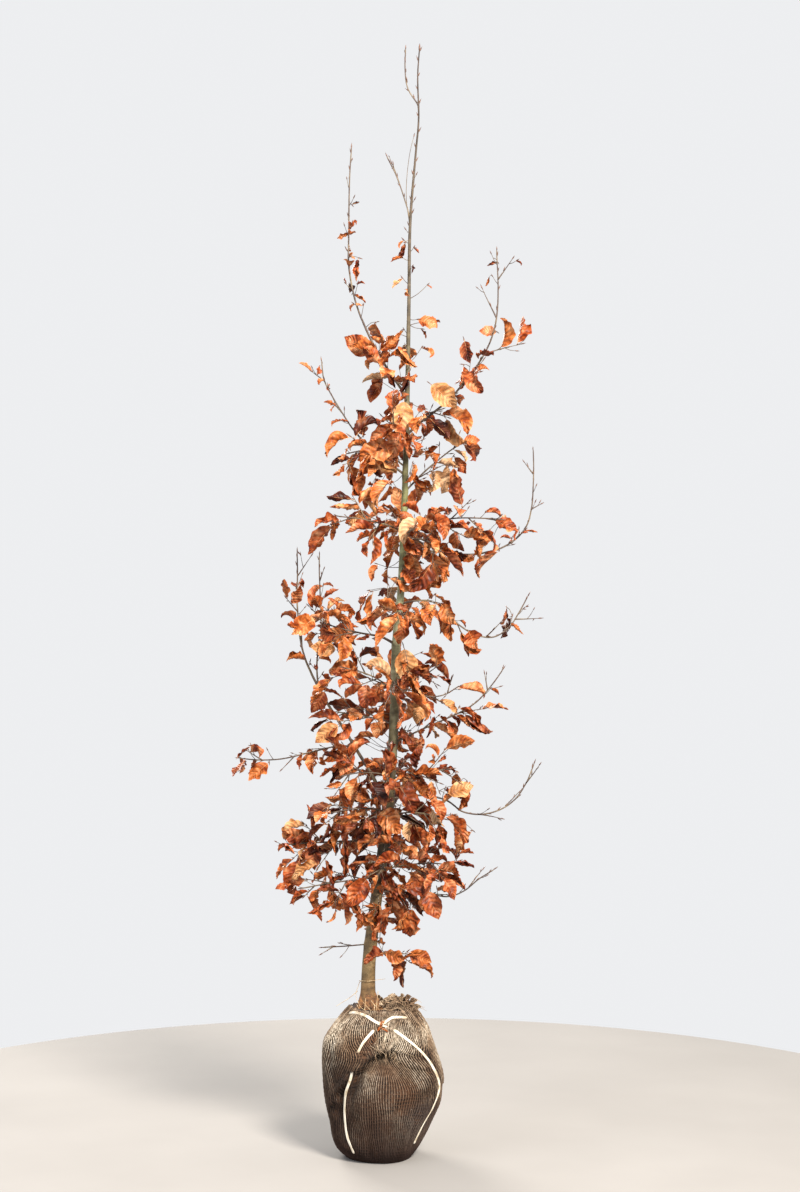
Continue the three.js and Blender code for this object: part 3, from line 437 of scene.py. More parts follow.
THREAD = dict(
    spacing=5.6,
    weft_spacing=7.8,
    radius=1.3,
    weft_radius=0.7,
    girths=(0.75, 1.15),  # of the radius
    lift=0.9,  # off the cloth's own face
    rise=0.45,  # over and under the threads that cross it
    loose=(-0.9, 3.2),  # how much further it lies off the cloth at the pinch
    sides=4,
)
# How the threads run together at the pinch, over a wide, low patch: strength is for the upright ones.
DRAW_IN = dict(strength=0.94, aside=112, above=36, below=58, weft=0.45)

# The sack's gathered ends beside the trunk, each a wavy strip round a middle: [right, back], radius of
# its foot, height of its foot and its edge, how far the edge leans out, number of waves and their size.
RUFFLES = [
    [[30, -10], 9, 318, 357, 3, 4, 3.5],
    [[32, -9], 19, 314, 354, 6, 6, 4.5],
    [[33, -8], 29, 308, 346, 9, 8, 5],
    [[34, -8], 36, 298, 332, 9, 9, 4.5],
    [[-4, 28], 12, 312, 346, 7, 5, 4],
]
RUFFLE_THREAD = dict(
    spacing=4.2,
    radius=0.62,
    weft_radius=0.55,
    weft_count=7,
    rise=0.5,
    loose=0.8,  # the share of threads that end in a fray
)
FRAY = dict(longest=11, radius=0.5, tip_radius=0.22)
# Broken threads round the pinch: how far aside of it and above it they start.
PINCH_FRAYS = dict(count=56, aside=(-14, 40), above=(-16, 44), longest=34, radius=0.95)

# The twine's knot. Each of its two ends is [its angle off level in radians, its length].
KNOT = dict(bearing=267, height=311, lift=3.6, size=2.7, radius=1.7, ends=[[-0.5, 20], [0.35, 15]])
# Root fibres and, from the eighth on, straws at the neck, as points [right, back, height].
STRAWS = [
    [[-58, -18, 350], [-50, -36, 338], [-34, -44, 330]],
    [[-46, -24, 348], [-30, -42, 334], [-16, -52, 322], [-18, -60, 306]],
    [[-28, -26, 352], [-20, -40, 342], [-24, -58, 318]],
    [[-60, -12, 340], [-48, -40, 326], [-22, -56, 314]],
    [[-40, -25, 356], [-44, -42, 332], [-58, -44, 326]],
    [[-22, -26, 344], [-8, -38, 330], [-10, -60, 308]],
    [[-12, -24, 372], [-15, -34, 346], [-16, -48, 322]],
    [[-34, -20, 394], [-52, -10, 392], [-57, -8, 380], [-62, -14, 366], [-60, -22, 352]],
    [[-55, -8, 393], [-34, -19, 394], [-12, -13, 396], [4, -18, 399]],
    [[-58, -20, 372], [-76, -26, 358], [-106, -30, 340]],
]
STRAW = dict(fibres=7, fibre_radius=0.75, radius=0.8, tip_radius=0.4)
# Where the trunk spreads into the ball: a flare from the trunk's skin out under the cloth.
COLLAR = dict(
    middle=-36,
    moves=14,  # how far its middle moves to the right on its way out
    foot=319,
    flare=54,  # how high it climbs up the trunk
    fade=13,
    trunk=14,  # its reach up against the trunk
    width=48,
    ridges=2.2,
)
CRUMBS = dict(count=150, radius=(1.5, 4.5))

CAMERA = dict(right=37, back=-4800, height=1257.5, lens=64.4, sensor=36)
FLOOR_RADIUS = 1560
FLOOR_DROP = 0.5  # how far the floor lies under the ball

# ---- Small tools ---------------------------------------------------------------------------------


def between(values, along):
    """The value at a share of the way through an evenly spaced list."""
    place = min(max(along, 0), 1) * (len(values) - 1)
    low = min(int(place), len(values) - 1)
    high = min(low + 1, len(values) - 1)
    return values[low] + (values[high] - values[low]) * (place - low)


def seeded(seed):
    """Numbers that look random and are the same each time: a linear congruential sequence."""
    state = seed * 7919 + 12345

    def draw(low, high):
        nonlocal state
        state = (state * 1664525 + 1013904223) % 4294967296
        return low + (high - low) * state / 4294967296

    return draw


def heading(bearing, rise):
    flat = math.cos(math.radians(rise))
    return np.array([
        flat * math.cos(math.radians(bearing)),
        flat * math.sin(math.radians(bearing)),
        math.sin(math.radians(rise)),
    ])


def unit(vector):
    return vector / (math.sqrt(vector @ vector) or 1)


def cross(a, b):
    return np.array([a[1] * b[2] - a[2] * b[1], a[2] * b[0] - a[0] * b[2], a[0] * b[1] - a[1] * b[0]])


def across(direction, wanted):
    """A unit vector at right angles to a direction, as near to the wanted one as can be."""
    side = wanted - direction * (wanted @ direction)
    if side @ side < 1e-6:
        side = cross(direction[[2, 0, 1]], direction)
    return unit(side)


def leaning(ahead, outward, angle):
    """A direction turned by an angle towards another at right angles to it."""
    return ahead * math.cos(angle) + outward * math.sin(angle)


def turned(bearing, other):
    """Degrees from one bearing to another, the short way round."""
    return (bearing - other + 540) % 360 - 180


def spun(ahead, wanted, angle):
    """The direction across another that is nearest to the wanted one, turned about it by an angle."""
    level = across(ahead, wanted)
    return leaning(level, cross(ahead, level), angle)


def point_on(line, along):
    place = min(max(along, 0), 1) * (len(line) - 1)
    low = min(int(place), len(line) - 2)
    return line[low] + (line[low + 1] - line[low]) * (place - low)


def direction_on(line, along):
    return unit(point_on(line, min(along + 0.04, 1)) - point_on(line, max(along - 0.04, 0)))


def length_of(line):
    return float(np.linalg.norm(np.diff(line, axis=0), axis=1).sum())


def normalised(vectors):
    return vectors / np.maximum(np.linalg.norm(vectors, axis=-1, keepdims=True), 1e-9)


def smooth_step(low, high, value):
    share = np.clip((value - low) / (high - low), 0, 1)
    return share * share * (3 - 2 * share)


def curve_through(points, parts):
    """A smooth line through points, with a number of parts between each two of them."""
    points = [np.array(p, float) for p in points]
    before = points[0] * 2 - points[1]
    after = points[-1] * 2 - points[-2]
    padded = [before, *points, after]
    line = []
    for i in range(len(points) - 1):
        p = padded[i:i + 4]
        # The knots' spacing goes by the square root of the distance, so that the line doesn't overshoot.
        d0, d1, d2 = [max(float((p[k + 1] - p[k]) @ (p[k + 1] - p[k])) ** 0.25, 1e-4) for k in range(3)]
        start = ((p[1] - p[0]) / d0 - (p[2] - p[0]) / (d0 + d1) + (p[2] - p[1]) / d1) * d1
        end = ((p[2] - p[1]) / d1 - (p[3] - p[1]) / (d1 + d2) + (p[3] - p[2]) / d2) * d1
        for part in range(parts):
            t = part / parts
            square = -3 * p[1] + 3 * p[2] - 2 * start - end
            cube = 2 * p[1] - 2 * p[2] + start + end
            line.append(p[1] + start * t + square * t ** 2 + cube * t ** 3)
    line.append(points[-1])
    return np.array(line)


# ---- Space ---------------------------------------------------------------------------------------

# Balls along every limb, twig and leaf, kept in cells, so that each spray keeps to its own space.
CELL = 24
WIDEST_BALL = 12
claimed = {}


def claim(centers, radii, owner):
    for (x, y, z), radius in zip(centers.tolist(), radii):
        reach = radius + WIDEST_BALL
        spans = [
            range(math.floor((v - reach) / CELL), math.floor((v + reach) / CELL) + 1) for v in (x, y, z)
        ]
        for i in spans[0]:
            for j in spans[1]:
                for k in spans[2]:
                    claimed.setdefault((i, j, k), []).append((x, y, z, radius, owner))


def is_free(centers, radii, owner, own_share):
    """True where no ball comes too near to one that is kept. A twig may touch what its own spray holds."""
    for (x, y, z), radius in zip(centers.tolist(), radii):
        near = claimed.get((math.floor(x / CELL), math.floor(y / CELL), math.floor(z / CELL)), ())
        for kept_x, kept_y, kept_z, kept_radius, kept_owner in near:
            share = own_share if kept_owner == owner else 1
            apart = (kept_x - x) ** 2 + (kept_y - y) ** 2 + (kept_z - z) ** 2
            if math.sqrt(apart) < share * (kept_radius + radius):
                return False
    return True


def balls_along(line, radius_at, begin, spacing):
    count = math.ceil(length_of(line) / spacing)
    shares = [i / count for i in range(count + 1) if i / count >= begin]
    return np.array([point_on(line, share) for share in shares]), [radius_at(s) + GAP for s in shares]


# ---- Growth: the trunk, its limbs, and the twigs and leaves of each spray ------------------------


def trunk_radius(height):
    share = np.clip((TRUNK["tip"] - height) / (TRUNK["tip"] - TRUNK["foot"]), 0, 1)
    flare = TRUNK["flare_radius"] * np.exp((TRUNK["foot"] - height) / TRUNK["flare_fade"])
    spread = TRUNK["butt_radius"] - TRUNK["tip_radius"]
    return TRUNK["tip_radius"] + spread * share ** TRUNK["taper_power"] + flare


trunk_line = curve_through([[right, back, height] for height, right, back in TRUNK_LINE], 4)


def trunk_point(height):
    above = max(1, int(np.argmax(trunk_line[:, 2] >= height)))
    low, high = trunk_line[above - 1], trunk_line[above]
    return low + (high - low) * (height - low[2]) / (high[2] - low[2])


def walk(start, bearings, rises, reach, step):
    """A line from a point, whose bearing and rise change evenly through their lists."""
    count = max(2, math.floor(reach / step + 0.5))
    line = [start]
    for i in range(count):
        along = (i + 0.5) / count
        line.append(line[-1] + heading(between(bearings, along), between(rises, along)) * (reach / count))
    return np.array(line)


def stretch(line, begin, end):
    """The part of a line between two shares of its length."""
    shares = [i / (len(line) - 1) for i in range(len(line))]
    inner = [point for point, share in zip(line, shares) if begin + 0.01 < share < end - 0.01]
    return np.array([point_on(line, begin), *inner, point_on(line, end)])


limbs = {}


def laid_out_limb(name):
    if name in limbs:
        return limbs[name]
    *columns, rest = LIMBS[name]
    limb = SimpleNamespace(name=name, seed=CROWN_SEED + list(LIMBS).index(name))
    vars(limb).update(zip(LIMB_COLUMNS, columns), **{**TYPICAL, **rest})
    parent = None if limb.on == "trunk" else laid_out_limb(limb.on)
    start = point_on(parent.line, limb.at) if parent else trunk_point(limb.at)
    limb.line = walk(start, limb.bearing, limb.rise, limb.reach, BOUGH["step"])
    taper = BOUGH["tip_radius"] - limb.girth
    limb.radius_at = lambda along: limb.girth + taper * min(along, 1) ** BOUGH["taper"]
    # What hides inside the parent doesn't count: the first share that stands clear of it.
    parent_radius = parent.radius_at(limb.at) if parent else float(trunk_radius(limb.at))
    limb.clear = (parent_radius + GAP + 1) / limb.reach
    limbs[name] = limb
    return limb


def leaf_half_width(leaf, share):
    """Half the blade's width: a thin stalk, then an oval that is widest before its middle."""
    blade = (share - LEAF["stalk"]) / (1 - LEAF["stalk"])
    if blade <= 0:
        return LEAF["stalk_radius"]
    oval = math.sin(math.pi * blade ** LEAF["widest"]) ** LEAF["fullness"]
    return LEAF["stalk_radius"] + leaf.size * LEAF["width"] * 0.5 * oval


def leaf_balls(leaf):
    """The balls that keep a leaf's space: its middle rib bends by its curl, and the blade turns with it."""
    parts = (np.arange(4) + 0.5) / 4
    flat_side = cross(leaf.ahead, leaf.up)
    centers = []
    for row, share in enumerate(LEAF["ball_rows"]):
        bend, turn = leaf.curl * share, leaf.twist * share
        run = np.cos(bend * parts).sum() * leaf.size * share / 4
        fall = np.sin(bend * parts).sum() * leaf.size * share / 4
        center = leaf.root + leaf.ahead * run - leaf.up * fall
        flat_up = leaning(leaf.up, leaf.ahead, bend)
        up, side = leaning(flat_up, flat_side, turn), leaning(flat_side, -flat_up, turn)
        for column in [0] if row == len(LEAF["ball_rows"]) - 1 else LEAF["ball_columns"]:
            reach = leaf_half_width(leaf, share) * column
            aside, rise = reach * math.cos(leaf.fold), abs(reach) * math.sin(leaf.fold)
            centers.append(center + side * aside + up * rise)
    return np.array(centers), [leaf.size * LEAF["ball"]] * len(centers)


def leaf_finds_room(leaf, closeness, owner):
    """Claims a leaf's space where it is free."""
    centers, radii = leaf_balls(leaf)
    radii = [radius * closeness for radius in radii]
    if not is_free(centers, radii, owner, OWN_SHARE):
        return False
    claim(centers, radii, owner)
    return True


def grown_leaf(limb, bud, ahead, outward, draw, size=1.0, closeness=1.0, droop=0.0):
    """One leaf at a bud of a twig: it stands out to a side, droops, and lies at a turn of its own."""
    for turn in range(TRIES):
        stand = draw(*LEAF["stand"])
        stray = np.array([draw(-LEAF["stray"], LEAF["stray"]) for _ in range(3)])
        stray[2] -= limb.droop + droop
        direction = unit(leaning(ahead, outward, stand) + stray)
        face = np.array([draw(-0.7, 0.7), draw(-0.9, 0.5), 1])
        leaf = SimpleNamespace(
            root=bud,
            ahead=direction,
            up=spun(direction, face, draw(*LEAF["roll"])),
            size=LEAF["length"] * limb.size * draw(*LEAF["sizes"]) * (1 - 0.05 * turn) * size,
            fold=draw(*LEAF["fold"]),
            curl=draw(*LEAF["curl"]),
            twist=draw(*LEAF["twist"]),
        )
        if leaf_finds_room(leaf, closeness, limb.name):
            return leaf
    return None


def leaves_along(limb, line, begin, pitch, sideways, is_bare, draw):
    """Leaves at the buds of a line, to one side and the other, and one at its end."""
    apart = line[-1] - line[0]
    count = math.floor((1 - begin) * math.sqrt(apart @ apart) / pitch)
    leaves = []
    for i in range(count + 2):
        at_end = i > count
        along = LEAF["last"] if at_end else begin + (1 - begin) * (i + 0.5) / (count + 1)
        if is_bare(along):
            continue
        ahead = direction_on(line, along)
        side = across(ahead, sideways) * (0.3 if at_end else -1 if i % 2 else 1)
        leaf = grown_leaf(limb, point_on(line, along), ahead, side, draw)
        if leaf:
            leaves.append(leaf)
    return leaves


def twig_radius(along):
    return TWIG["radius"] + (TWIG["tip_radius"] - TWIG["radius"]) * max(along - TWIG["swell"], 0)


def grown_spray(limb):
    """A spray: side twigs off the limb's stem at a set turn, leaves along them and along the stem."""
    draw = seeded(limb.seed)
    begin = max(limb.enter, limb.clear)
    limb.is_bare = lambda along: any(low < along <= high for low, high in limb.bare)
    limb.twigs_grown, limb.leaves = [], []
    plane = across(direction_on(limb.line, 0.5), np.array([0, 0, 1.0]))
    for i in range(limb.twigs):
        share = (i + 0.6) / limb.twigs
        along = begin + (1 - begin) * (TWIG["first"] + (TWIG["last"] - TWIG["first"]) * share)
        root = point_on(limb.line, along)
        ahead = direction_on(limb.line, along)
        for turn in range(TRIES):
            stray = draw(-TWIG["stray"], TWIG["stray"])
            angle = math.radians(90 + i * limb.turn) + stray + turn * TWIG["retry"]
            direction = leaning(ahead, spun(ahead, plane, angle), draw(*TWIG["stand"]))
            reach = limb.spread * draw(*TWIG["reaches"]) * (1 - TWIG["shorter"] * share)
            line = np.array([root, root + direction * reach])
            balls = balls_along(line, twig_radius, begin=0.25, spacing=7)
            if not is_free(*balls, limb.name, 0):
                continue
            claim(*balls, limb.name)
            limb.twigs_grown.append(SimpleNamespace(line=line, bare=limb.is_bare(along)))
            if not limb.is_bare(along):
                pitch = limb.pitch * TWIG["closeness"]
                leafy = lambda share: False
                limb.leaves += leaves_along(limb, line, TWIG["leafless"], pitch, ahead, leafy, draw)
            break
    begin += TWIG["first"] * (1 - begin)
    aside = heading(limb.bearing[0] + 90, 0)
    limb.leaves += leaves_along(limb, limb.line, begin, limb.pitch, aside, limb.is_bare, draw)


def spurs_along(limb, line, begin, is_bare, draw):
    """Finer wood on a stem or a side twig, to one side and the other: spurs with small leaves, and buds."""
    count = max(1, math.floor(length_of(line) * (1 - begin) / SPUR["pitch"]))
    for i in range(count):
        along = begin + (1 - begin) * (i + draw(0.3, 0.7)) / count
        root, ahead = point_on(line, along), direction_on(line, along)
        outward = spun(ahead, np.array([0.2, -0.5, 1]), i * math.pi + draw(-1.2, 1.2))
        bare = is_bare(along)
        if bare and draw(0, 1) > SPUR["bare"]:
            limb.buds.append((root, leaning(ahead, outward, BUD["lie"])))
            continue
        direction = leaning(ahead, outward, draw(*SPUR["stand"]))
        reach = draw(*SPUR["lengths"]) * (0.7 + 0.3 * limb.size)
        leafy = draw(0, 1) < SPUR["remnant" if bare else "leafy"]
        sizes = SPUR["remnant_sizes" if bare else "sizes"]
        grown_spur(limb, root, direction, reach, draw(*sizes) if leafy else 0, draw)


def grown_spur(limb, root, direction, reach, leaf_size, draw):
    line = spur_line(root, direction, reach)
    balls = balls_along(line, lambda along: SPUR["radius"], begin=0.5, spacing=6)
    if not is_free(*balls, limb.name, 0) or not is_inside(limb, line[-1]):
        return
    claim(*balls, limb.name)
    limb.spurs.append(line)
    if leaf_size:
        spur_leaf(limb, line, leaf_size, SPUR, draw)


def spur_line(root, direction, reach):
    """Three points of a spur whose end turns up a little."""
    lift = np.array([0, 0, SPUR["lift"] * 0.4 * reach])
    return np.array([root, root + direction * reach * 0.5, root + direction * reach + lift])


def spur_leaf(limb, line, leaf_size, kind, draw):
    """The leaf at a spur's end, where it finds room."""
    ahead = direction_on(line, 1)
    sideways = across(ahead, np.array([draw(-1, 1), draw(-1, 1), draw(-1, 1)])) * 0.5
    leaf = grown_leaf(limb, line[-1], ahead, sideways, draw, leaf_size, kind["closeness"], kind["droop"])
    if leaf and is_inside(limb, leaf.root + leaf.ahead * leaf.size):
        limb.leaves.append(leaf)


def is_inside(limb, point):
    """Finer wood stays within the reach of the spray that it belongs to."""
    low, high = limb.room
    return bool(np.all(point > low) and np.all(point < high))


def grown_crown():
    """Grows every limb by the source's rule, and then its finer twigs."""
    trunk_radius_at = lambda along: float(trunk_radius(point_on(trunk_line, along)[2]))
    claim(*balls_along(trunk_line, trunk_radius_at, begin=0, spacing=8), "trunk")
    for name in LIMBS:
        limb = laid_out_limb(name)
        stem, bough = stretch(limb.line, limb.enter, 1), stretch(limb.line, 0, limb.enter)
        begin = 0 if limb.enter else limb.clear
        claim(*balls_along(stem, limb.radius_at, begin, spacing=7), name)
        if limb.enter:
            claim(*balls_along(bough, limb.radius_at, limb.clear, spacing=7), name + "_bough")
    for limb in limbs.values():
        grown_spray(limb)
    slack = 6  # how far finer wood may reach out of its spray's box
    for limb in limbs.values():
        low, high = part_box("spray_" + limb.name)
        limb.room = np.array(low) / MM - slack, np.array(high) / MM + slack
        limb.spurs, limb.buds = [], []
        draw = seeded(limb.seed + SEEDS["spurs"])
        begin = max(limb.enter, limb.clear)
        spurs_along(limb, limb.line, begin, limb.is_bare, draw)
        for twig in limb.twigs_grown:
            spurs_along(limb, twig.line, 0.25, lambda along, bare=twig.bare: bare, draw)


def grown_trunk_spurs():
    """What grows straight off the trunk: tufts of leaves, spurs, and the buds and shoots of its leader."""
    limb = SimpleNamespace(
        name="trunk_spurs", size=1, droop=0.2, spurs=[], buds=[], leaves=[], twigs_grown=[],
    )
    limb.room = np.array(cad_box[0]) / MM, np.array(cad_box[1]) / MM
    draw = seeded(CROWN_SEED + SEEDS["trunk"])
    for low, high, count in TRUNK_TUFTS:
        for i in range(count):
            height = low + (high - low) * (i + draw(0.2, 0.8)) / count
            direction = heading(draw(0, 360), draw(*TUFT["rise"]))
            trunk_spur(limb, height, direction, draw(*TUFT["lengths"]), draw(*TUFT["sizes"]), draw)
    for height, bearing, rise, length, leaf_size in TRUNK_SPURS:
        trunk_spur(limb, height, heading(bearing, rise), length, leaf_size, draw)
    for height, bearing in LEADER_BUDS:
        outward = heading(bearing, 0)
        ahead = unit(trunk_point(height + 8) - trunk_point(height - 8))
        root = trunk_point(height) + outward * float(trunk_radius(height)) * 0.7
        limb.buds.append((root, leaning(ahead, outward, BUD["lie"])))
    limb.spurs += [np.array(route, float) for route in LEADER_SHOOTS]
    hang_leaves(limb)
    return limb


def hang_leaves(limb):
    """The groups and the single leaves, each by a spur from the wood that is nearest to it."""
    apart, places = 9, []
    for owner in limbs.values():
        for line in [owner.line, *[twig.line for twig in owner.twigs_grown], *owner.spurs]:
            shares = np.linspace(0.1, 1, max(3, round(length_of(line) / apart)))
            places += [point_on(line, share) for share in shares]
    places += [trunk_point(height) for height in np.arange(480.0, 2460.0, apart)]
    wood = np.array(places)
    draw = seeded(CROWN_SEED + SEEDS["hung"])
    single_leaves(limb, wood, draw)
    leaf_scraps(limb, draw)
    leaf_groups(limb, wood, draw)


def single_leaves(limb, wood, draw):
    for right, back, height, points_to, turn, size, tint, state in SINGLE_LEAVES:
        ahead = unit(heading(0, points_to) + [0, draw(-0.3, 0.1), 0])
        face = np.array([turn * (1 if draw(0, 1) < 0.5 else -1), -1, 0.2])
        leaf = hung_leaf(np.array([right, back, height], float), ahead, face, size, draw)
        leaf.tint, leaf.state = tint, state
        leaf.fold, leaf.curl, leaf.twist = 0.25, draw(-0.1, 0.5), draw(-0.2, 0.2)
        claim(*leaf_balls(leaf), limb.name)
        hang(limb, leaf, wood)


def leaf_scraps(limb, draw):
    for bearing, height, points_to, size in SCRAPS:
        middle = ball_face(np.array(float(bearing)), np.array(float(height)), 5.0)
        ahead = unit(heading(0, points_to) + [0, 0.1, 0])
        leaf = hung_leaf(middle, ahead, np.array([0.2, -1, 0.6]), size, draw)
        leaf.tint = "rust"
        limb.leaves.append(leaf)


def leaf_groups(limb, wood, draw):
    for right, back, height, about, count in GROUPS:
        for _ in range(count):
            for _ in range(TRIES):
                middle = np.array([right, back, height]) + [draw(-about, about) for _ in range(3)]
                ahead = unit(np.array([draw(-0.7, 0.7), draw(-0.7, 0.7), draw(-1, 0.1)]))
                face = np.array([draw(-1, 1), draw(-1, 0.4), draw(-0.4, 0.6)])
                leaf = hung_leaf(middle, ahead, face, draw(*HUNG["sizes"]), draw)
                if leaf_finds_room(leaf, HUNG["closeness"], limb.name):
                    hang(limb, leaf, wood)
                    break


def hung_leaf(middle, ahead, face, size, draw):
    """A leaf by its middle, the way that it points and the way that it faces."""
    length = LEAF["length"] * size
    return SimpleNamespace(
        root=middle - ahead * length * 0.53,
        ahead=ahead,
        up=across(ahead, face),
        size=length,
        fold=draw(*LEAF["fold"]),
        curl=draw(*LEAF["curl"]),
        twist=draw(*LEAF["twist"]),
    )


def hang(limb, leaf, wood):
    """Adds a leaf and the spur that it hangs on, unless all wood is too far away."""
    apart = np.linalg.norm(wood - leaf.root, axis=1)
    nearest = wood[np.argmin(apart)]
    reach = apart.min()
    if reach > HUNG["longest"]:
        return
    middle = (nearest + leaf.root) / 2 + [0, 0, 0.12 * reach]
    limb.spurs.append(np.array([nearest, middle, leaf.root]))
    limb.leaves.append(leaf)


def trunk_spur(limb, height, direction, length, leaf_size, draw):
    root = trunk_point(height) + direction * float(trunk_radius(height)) * 0.6
    line = spur_line(root, direction, length + float(trunk_radius(height)) * 0.4)
    limb.spurs.append(line)
    if leaf_size:
        spur_leaf(limb, line, leaf_size, TUFT, draw)


# ---- Meshes --------------------------------------------------------------------------------------


class Heap:
    """Points and faces of many small pieces of one kind, which become one mesh. Marked quads wear the
    mesh's second material."""

    def __init__(self):
        self.points, self.quads, self.triangles, self.marks, self.count = [], [], [], [], 0

    def add(self, points, quads=None, triangles=None, marks=None):
        if quads is not None:
            self.quads.append(quads + self.count)
            self.marks.append(np.zeros(len(quads), int) if marks is None else marks)
        if triangles is not None:
            self.triangles.append(triangles + self.count)
        self.points.append(points)
        self.count += len(points)

    def mesh(self, name, materials):
        """The mesh in metres, smooth, with its materials."""
        mesh = bpy.data.meshes.new(name)
        faces = [face for block in self.quads + self.triangles for face in block.tolist()]
        mesh.from_pydata((np.concatenate(self.points) * MM).tolist(), [], faces)
        mesh.shade_smooth()
        for material in materials:
            mesh.materials.append(material)
        marks = np.zeros(len(faces), int)
        marked = np.concatenate(self.marks)
        marks[:len(marked)] = marked
        mesh.polygons.foreach_set("material_index", marks)
        return mesh


def placed(name, data):
    """An object of the scene for a mesh, a lamp or a camera."""
    made = bpy.data.objects.new(name, data)
    bpy.context.scene.collection.objects.link(made)
    return made


def piece(name, heap, materials, nodes=()):
    """One object of the scene from a heap, riding on the plant's one body."""
    made = placed(name, heap.mesh(name, materials))
    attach(made, "root")
    if nodes:
        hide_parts(*nodes)


def round_angles(sides):
    """Even angles once round, in radians."""
    return np.arange(sides) / sides * 2 * math.pi


def ring_points(right, back, radius, angle, height, squash=1.0):
    """Points at angles round a middle, whose reach to front and back may be squashed."""
    return np.stack([
        right + radius * np.cos(angle),
        back + radius * np.sin(angle) * squash,
        np.broadcast_to(height, radius.shape),
    ], axis=-1)


def grid_quads(rows, columns, is_round):
    """The faces between rows of points; is_round joins each row's last point to its first."""
    row, column = np.meshgrid(np.arange(rows - 1), np.arange(columns - (not is_round)), indexing="ij")
    row, after = row * columns, (column + 1) % columns
    corners = [row + column, row + after, row + columns + after, row + columns + column]
    return np.stack(corners, axis=-1).reshape(-1, 4)


def end_fans(rows, columns, is_round):
    """Faces that close both ends of such a grid to the two points that follow it."""
    around = np.arange(columns - (not is_round))
    after, last = (around + 1) % columns, (rows - 1) * columns
    first_end, last_end = np.full(len(around), rows * columns), np.full(len(around), rows * columns + 1)
    return np.concatenate([
        np.stack([first_end, after, around], axis=1),
        np.stack([last_end, last + around, last + after], axis=1),
    ])


def skin(heap, rows, ends, is_round=True, inside_out=False, marks=None):
    """Faces between rows of points, and from the first and the last row to an end point each."""
    way = -1 if inside_out else 1
    faces, fans = [make(*rows.shape[:2], is_round)[:, ::way] for make in (grid_quads, end_fans)]
    heap.add(np.concatenate([rows.reshape(-1, 3), ends]), faces, fans, marks)


def tube(heap, line, radii, sides=8, ups=None, outline=None):
    """A closed skin along a line: round, or with an outline of [up, sideways] shares of its radius."""
    line = np.asarray(line, float)
    radii = np.broadcast_to(np.asarray(radii, float), (len(line),))
    ahead = normalised(np.gradient(line, axis=0))
    if ups is None:
        ups = np.broadcast_to(np.array([0.31, -0.9, 0.12]), line.shape)
    ups = normalised(ups - ahead * (ups * ahead).sum(1, keepdims=True))
    aside = np.cross(ahead, ups)
    if outline is None:
        outline = np.stack([np.cos(round_angles(sides)), np.sin(round_angles(sides))], axis=1)
    outline = np.asarray(outline, float)
    across_it = outline[None, :, :1] * ups[:, None] + outline[None, :, 1:] * aside[:, None]
    skin(heap, line[:, None] + radii[:, None, None] * across_it, line[[0, -1]])


def crooked(line, step, swing, draw):
    """A line through the same ends with the small crooks of a twig."""
    count = max(2, round(length_of(line) / step))
    if len(line) > 2:
        line = curve_through(line, 6)
    shares = np.linspace(0, 1, count + 1)
    fine = np.array([point_on(line, share) for share in shares])
    ahead = direction_on(fine, 0.5)
    level = across(ahead, np.array([0.1, 0.2, 1]))
    aside = cross(ahead, level)
    run = shares[:, None] * length_of(line)
    phases = [draw(0, 2 * math.pi) for _ in range(2)]
    fade = np.minimum(shares * 4, 1)[:, None]
    bend = np.sin(run / 17 + phases[0]) * level + np.sin(run / 23 + phases[1]) * aside
    return fine + (bend - bend[:1]) * swing * fade


def bud(heap, place, ahead, length, swell=1.0):
    """A beech bud: long, slender and sharp."""
    shares = np.array([0, 0.15, 0.4, 0.65, 0.85, 1])
    girth = BUD["radius"] * (0.6 + 0.4 * length / BUD["length"][1]) * swell
    tube(heap, place + shares[:, None] * ahead * length, np.array(BUD_OUTLINE) * girth, sides=4)


# ---- Trunk and boughs ----------------------------------------------------------------------------


def trunk_bark():
    """The trunk's skin: ridges at its foot, wrinkles, collars under the limbs and scars of lost ones."""
    line = curve_through([[right, back, height] for height, right, back in TRUNK_LINE], 12)
    near_foot = np.arange(TRUNK["foot"], TRUNK["foot"] + 120, 1.6)
    top = TRUNK["tip"] - BUD["end"] + 2  # the end bud stands on it
    heights = np.concatenate([near_foot, np.arange(TRUNK["foot"] + 120, top, 4.5), [top]])
    middles = np.stack([np.interp(heights, line[:, 2], line[:, axis]) for axis in range(2)], axis=1)
    height, angle = heights[:, None], round_angles(36)[None, :]
    radius = scarred(bark_radius(height, angle), height, angle)
    points = ring_points(middles[:, :1], middles[:, 1:], radius, angle, height)
    heap = Heap()
    skin(heap, points, np.array([[*middles[0], TRUNK["foot"]], [*middles[-1], top]]))
    return heap


def bark_radius(height, angle):
    """The trunk's radius with ridges at its foot, wrinkles round it and soft swellings."""
    radius = trunk_radius(height) * (1 + 0.035 * np.cos(3 * angle + height / 260))
    thick = smooth_step(0, 14, radius)  # wrinkles shrink with the stem
    ridges = np.exp((TRUNK["foot"] - height) / 34)
    radius = radius + 2.6 * ridges * (np.cos(5 * angle + 0.7) + 0.5 * np.cos(8 * angle + 2 + height / 40))
    wander = 1.8 * np.sin(2 * angle + height / 47) + 1.1 * np.sin(3 * angle - height / 29)
    rings = np.sin((height + wander) / 1.75) + 0.8 * np.sin((height - 1.6 * wander) / 2.9 + 1)
    uneven = 0.5 + 0.5 * np.sin(height / 31 + 2 * np.sin(angle + height / 90))
    radius = radius + 0.05 * thick * rings * uneven
    swell = np.sin(height / 61 + 0.8 * np.sin(height / 37)) ** 8
    return radius + 0.5 * thick * swell + 0.35 * thick * np.sin(angle * 2 + height / 53)


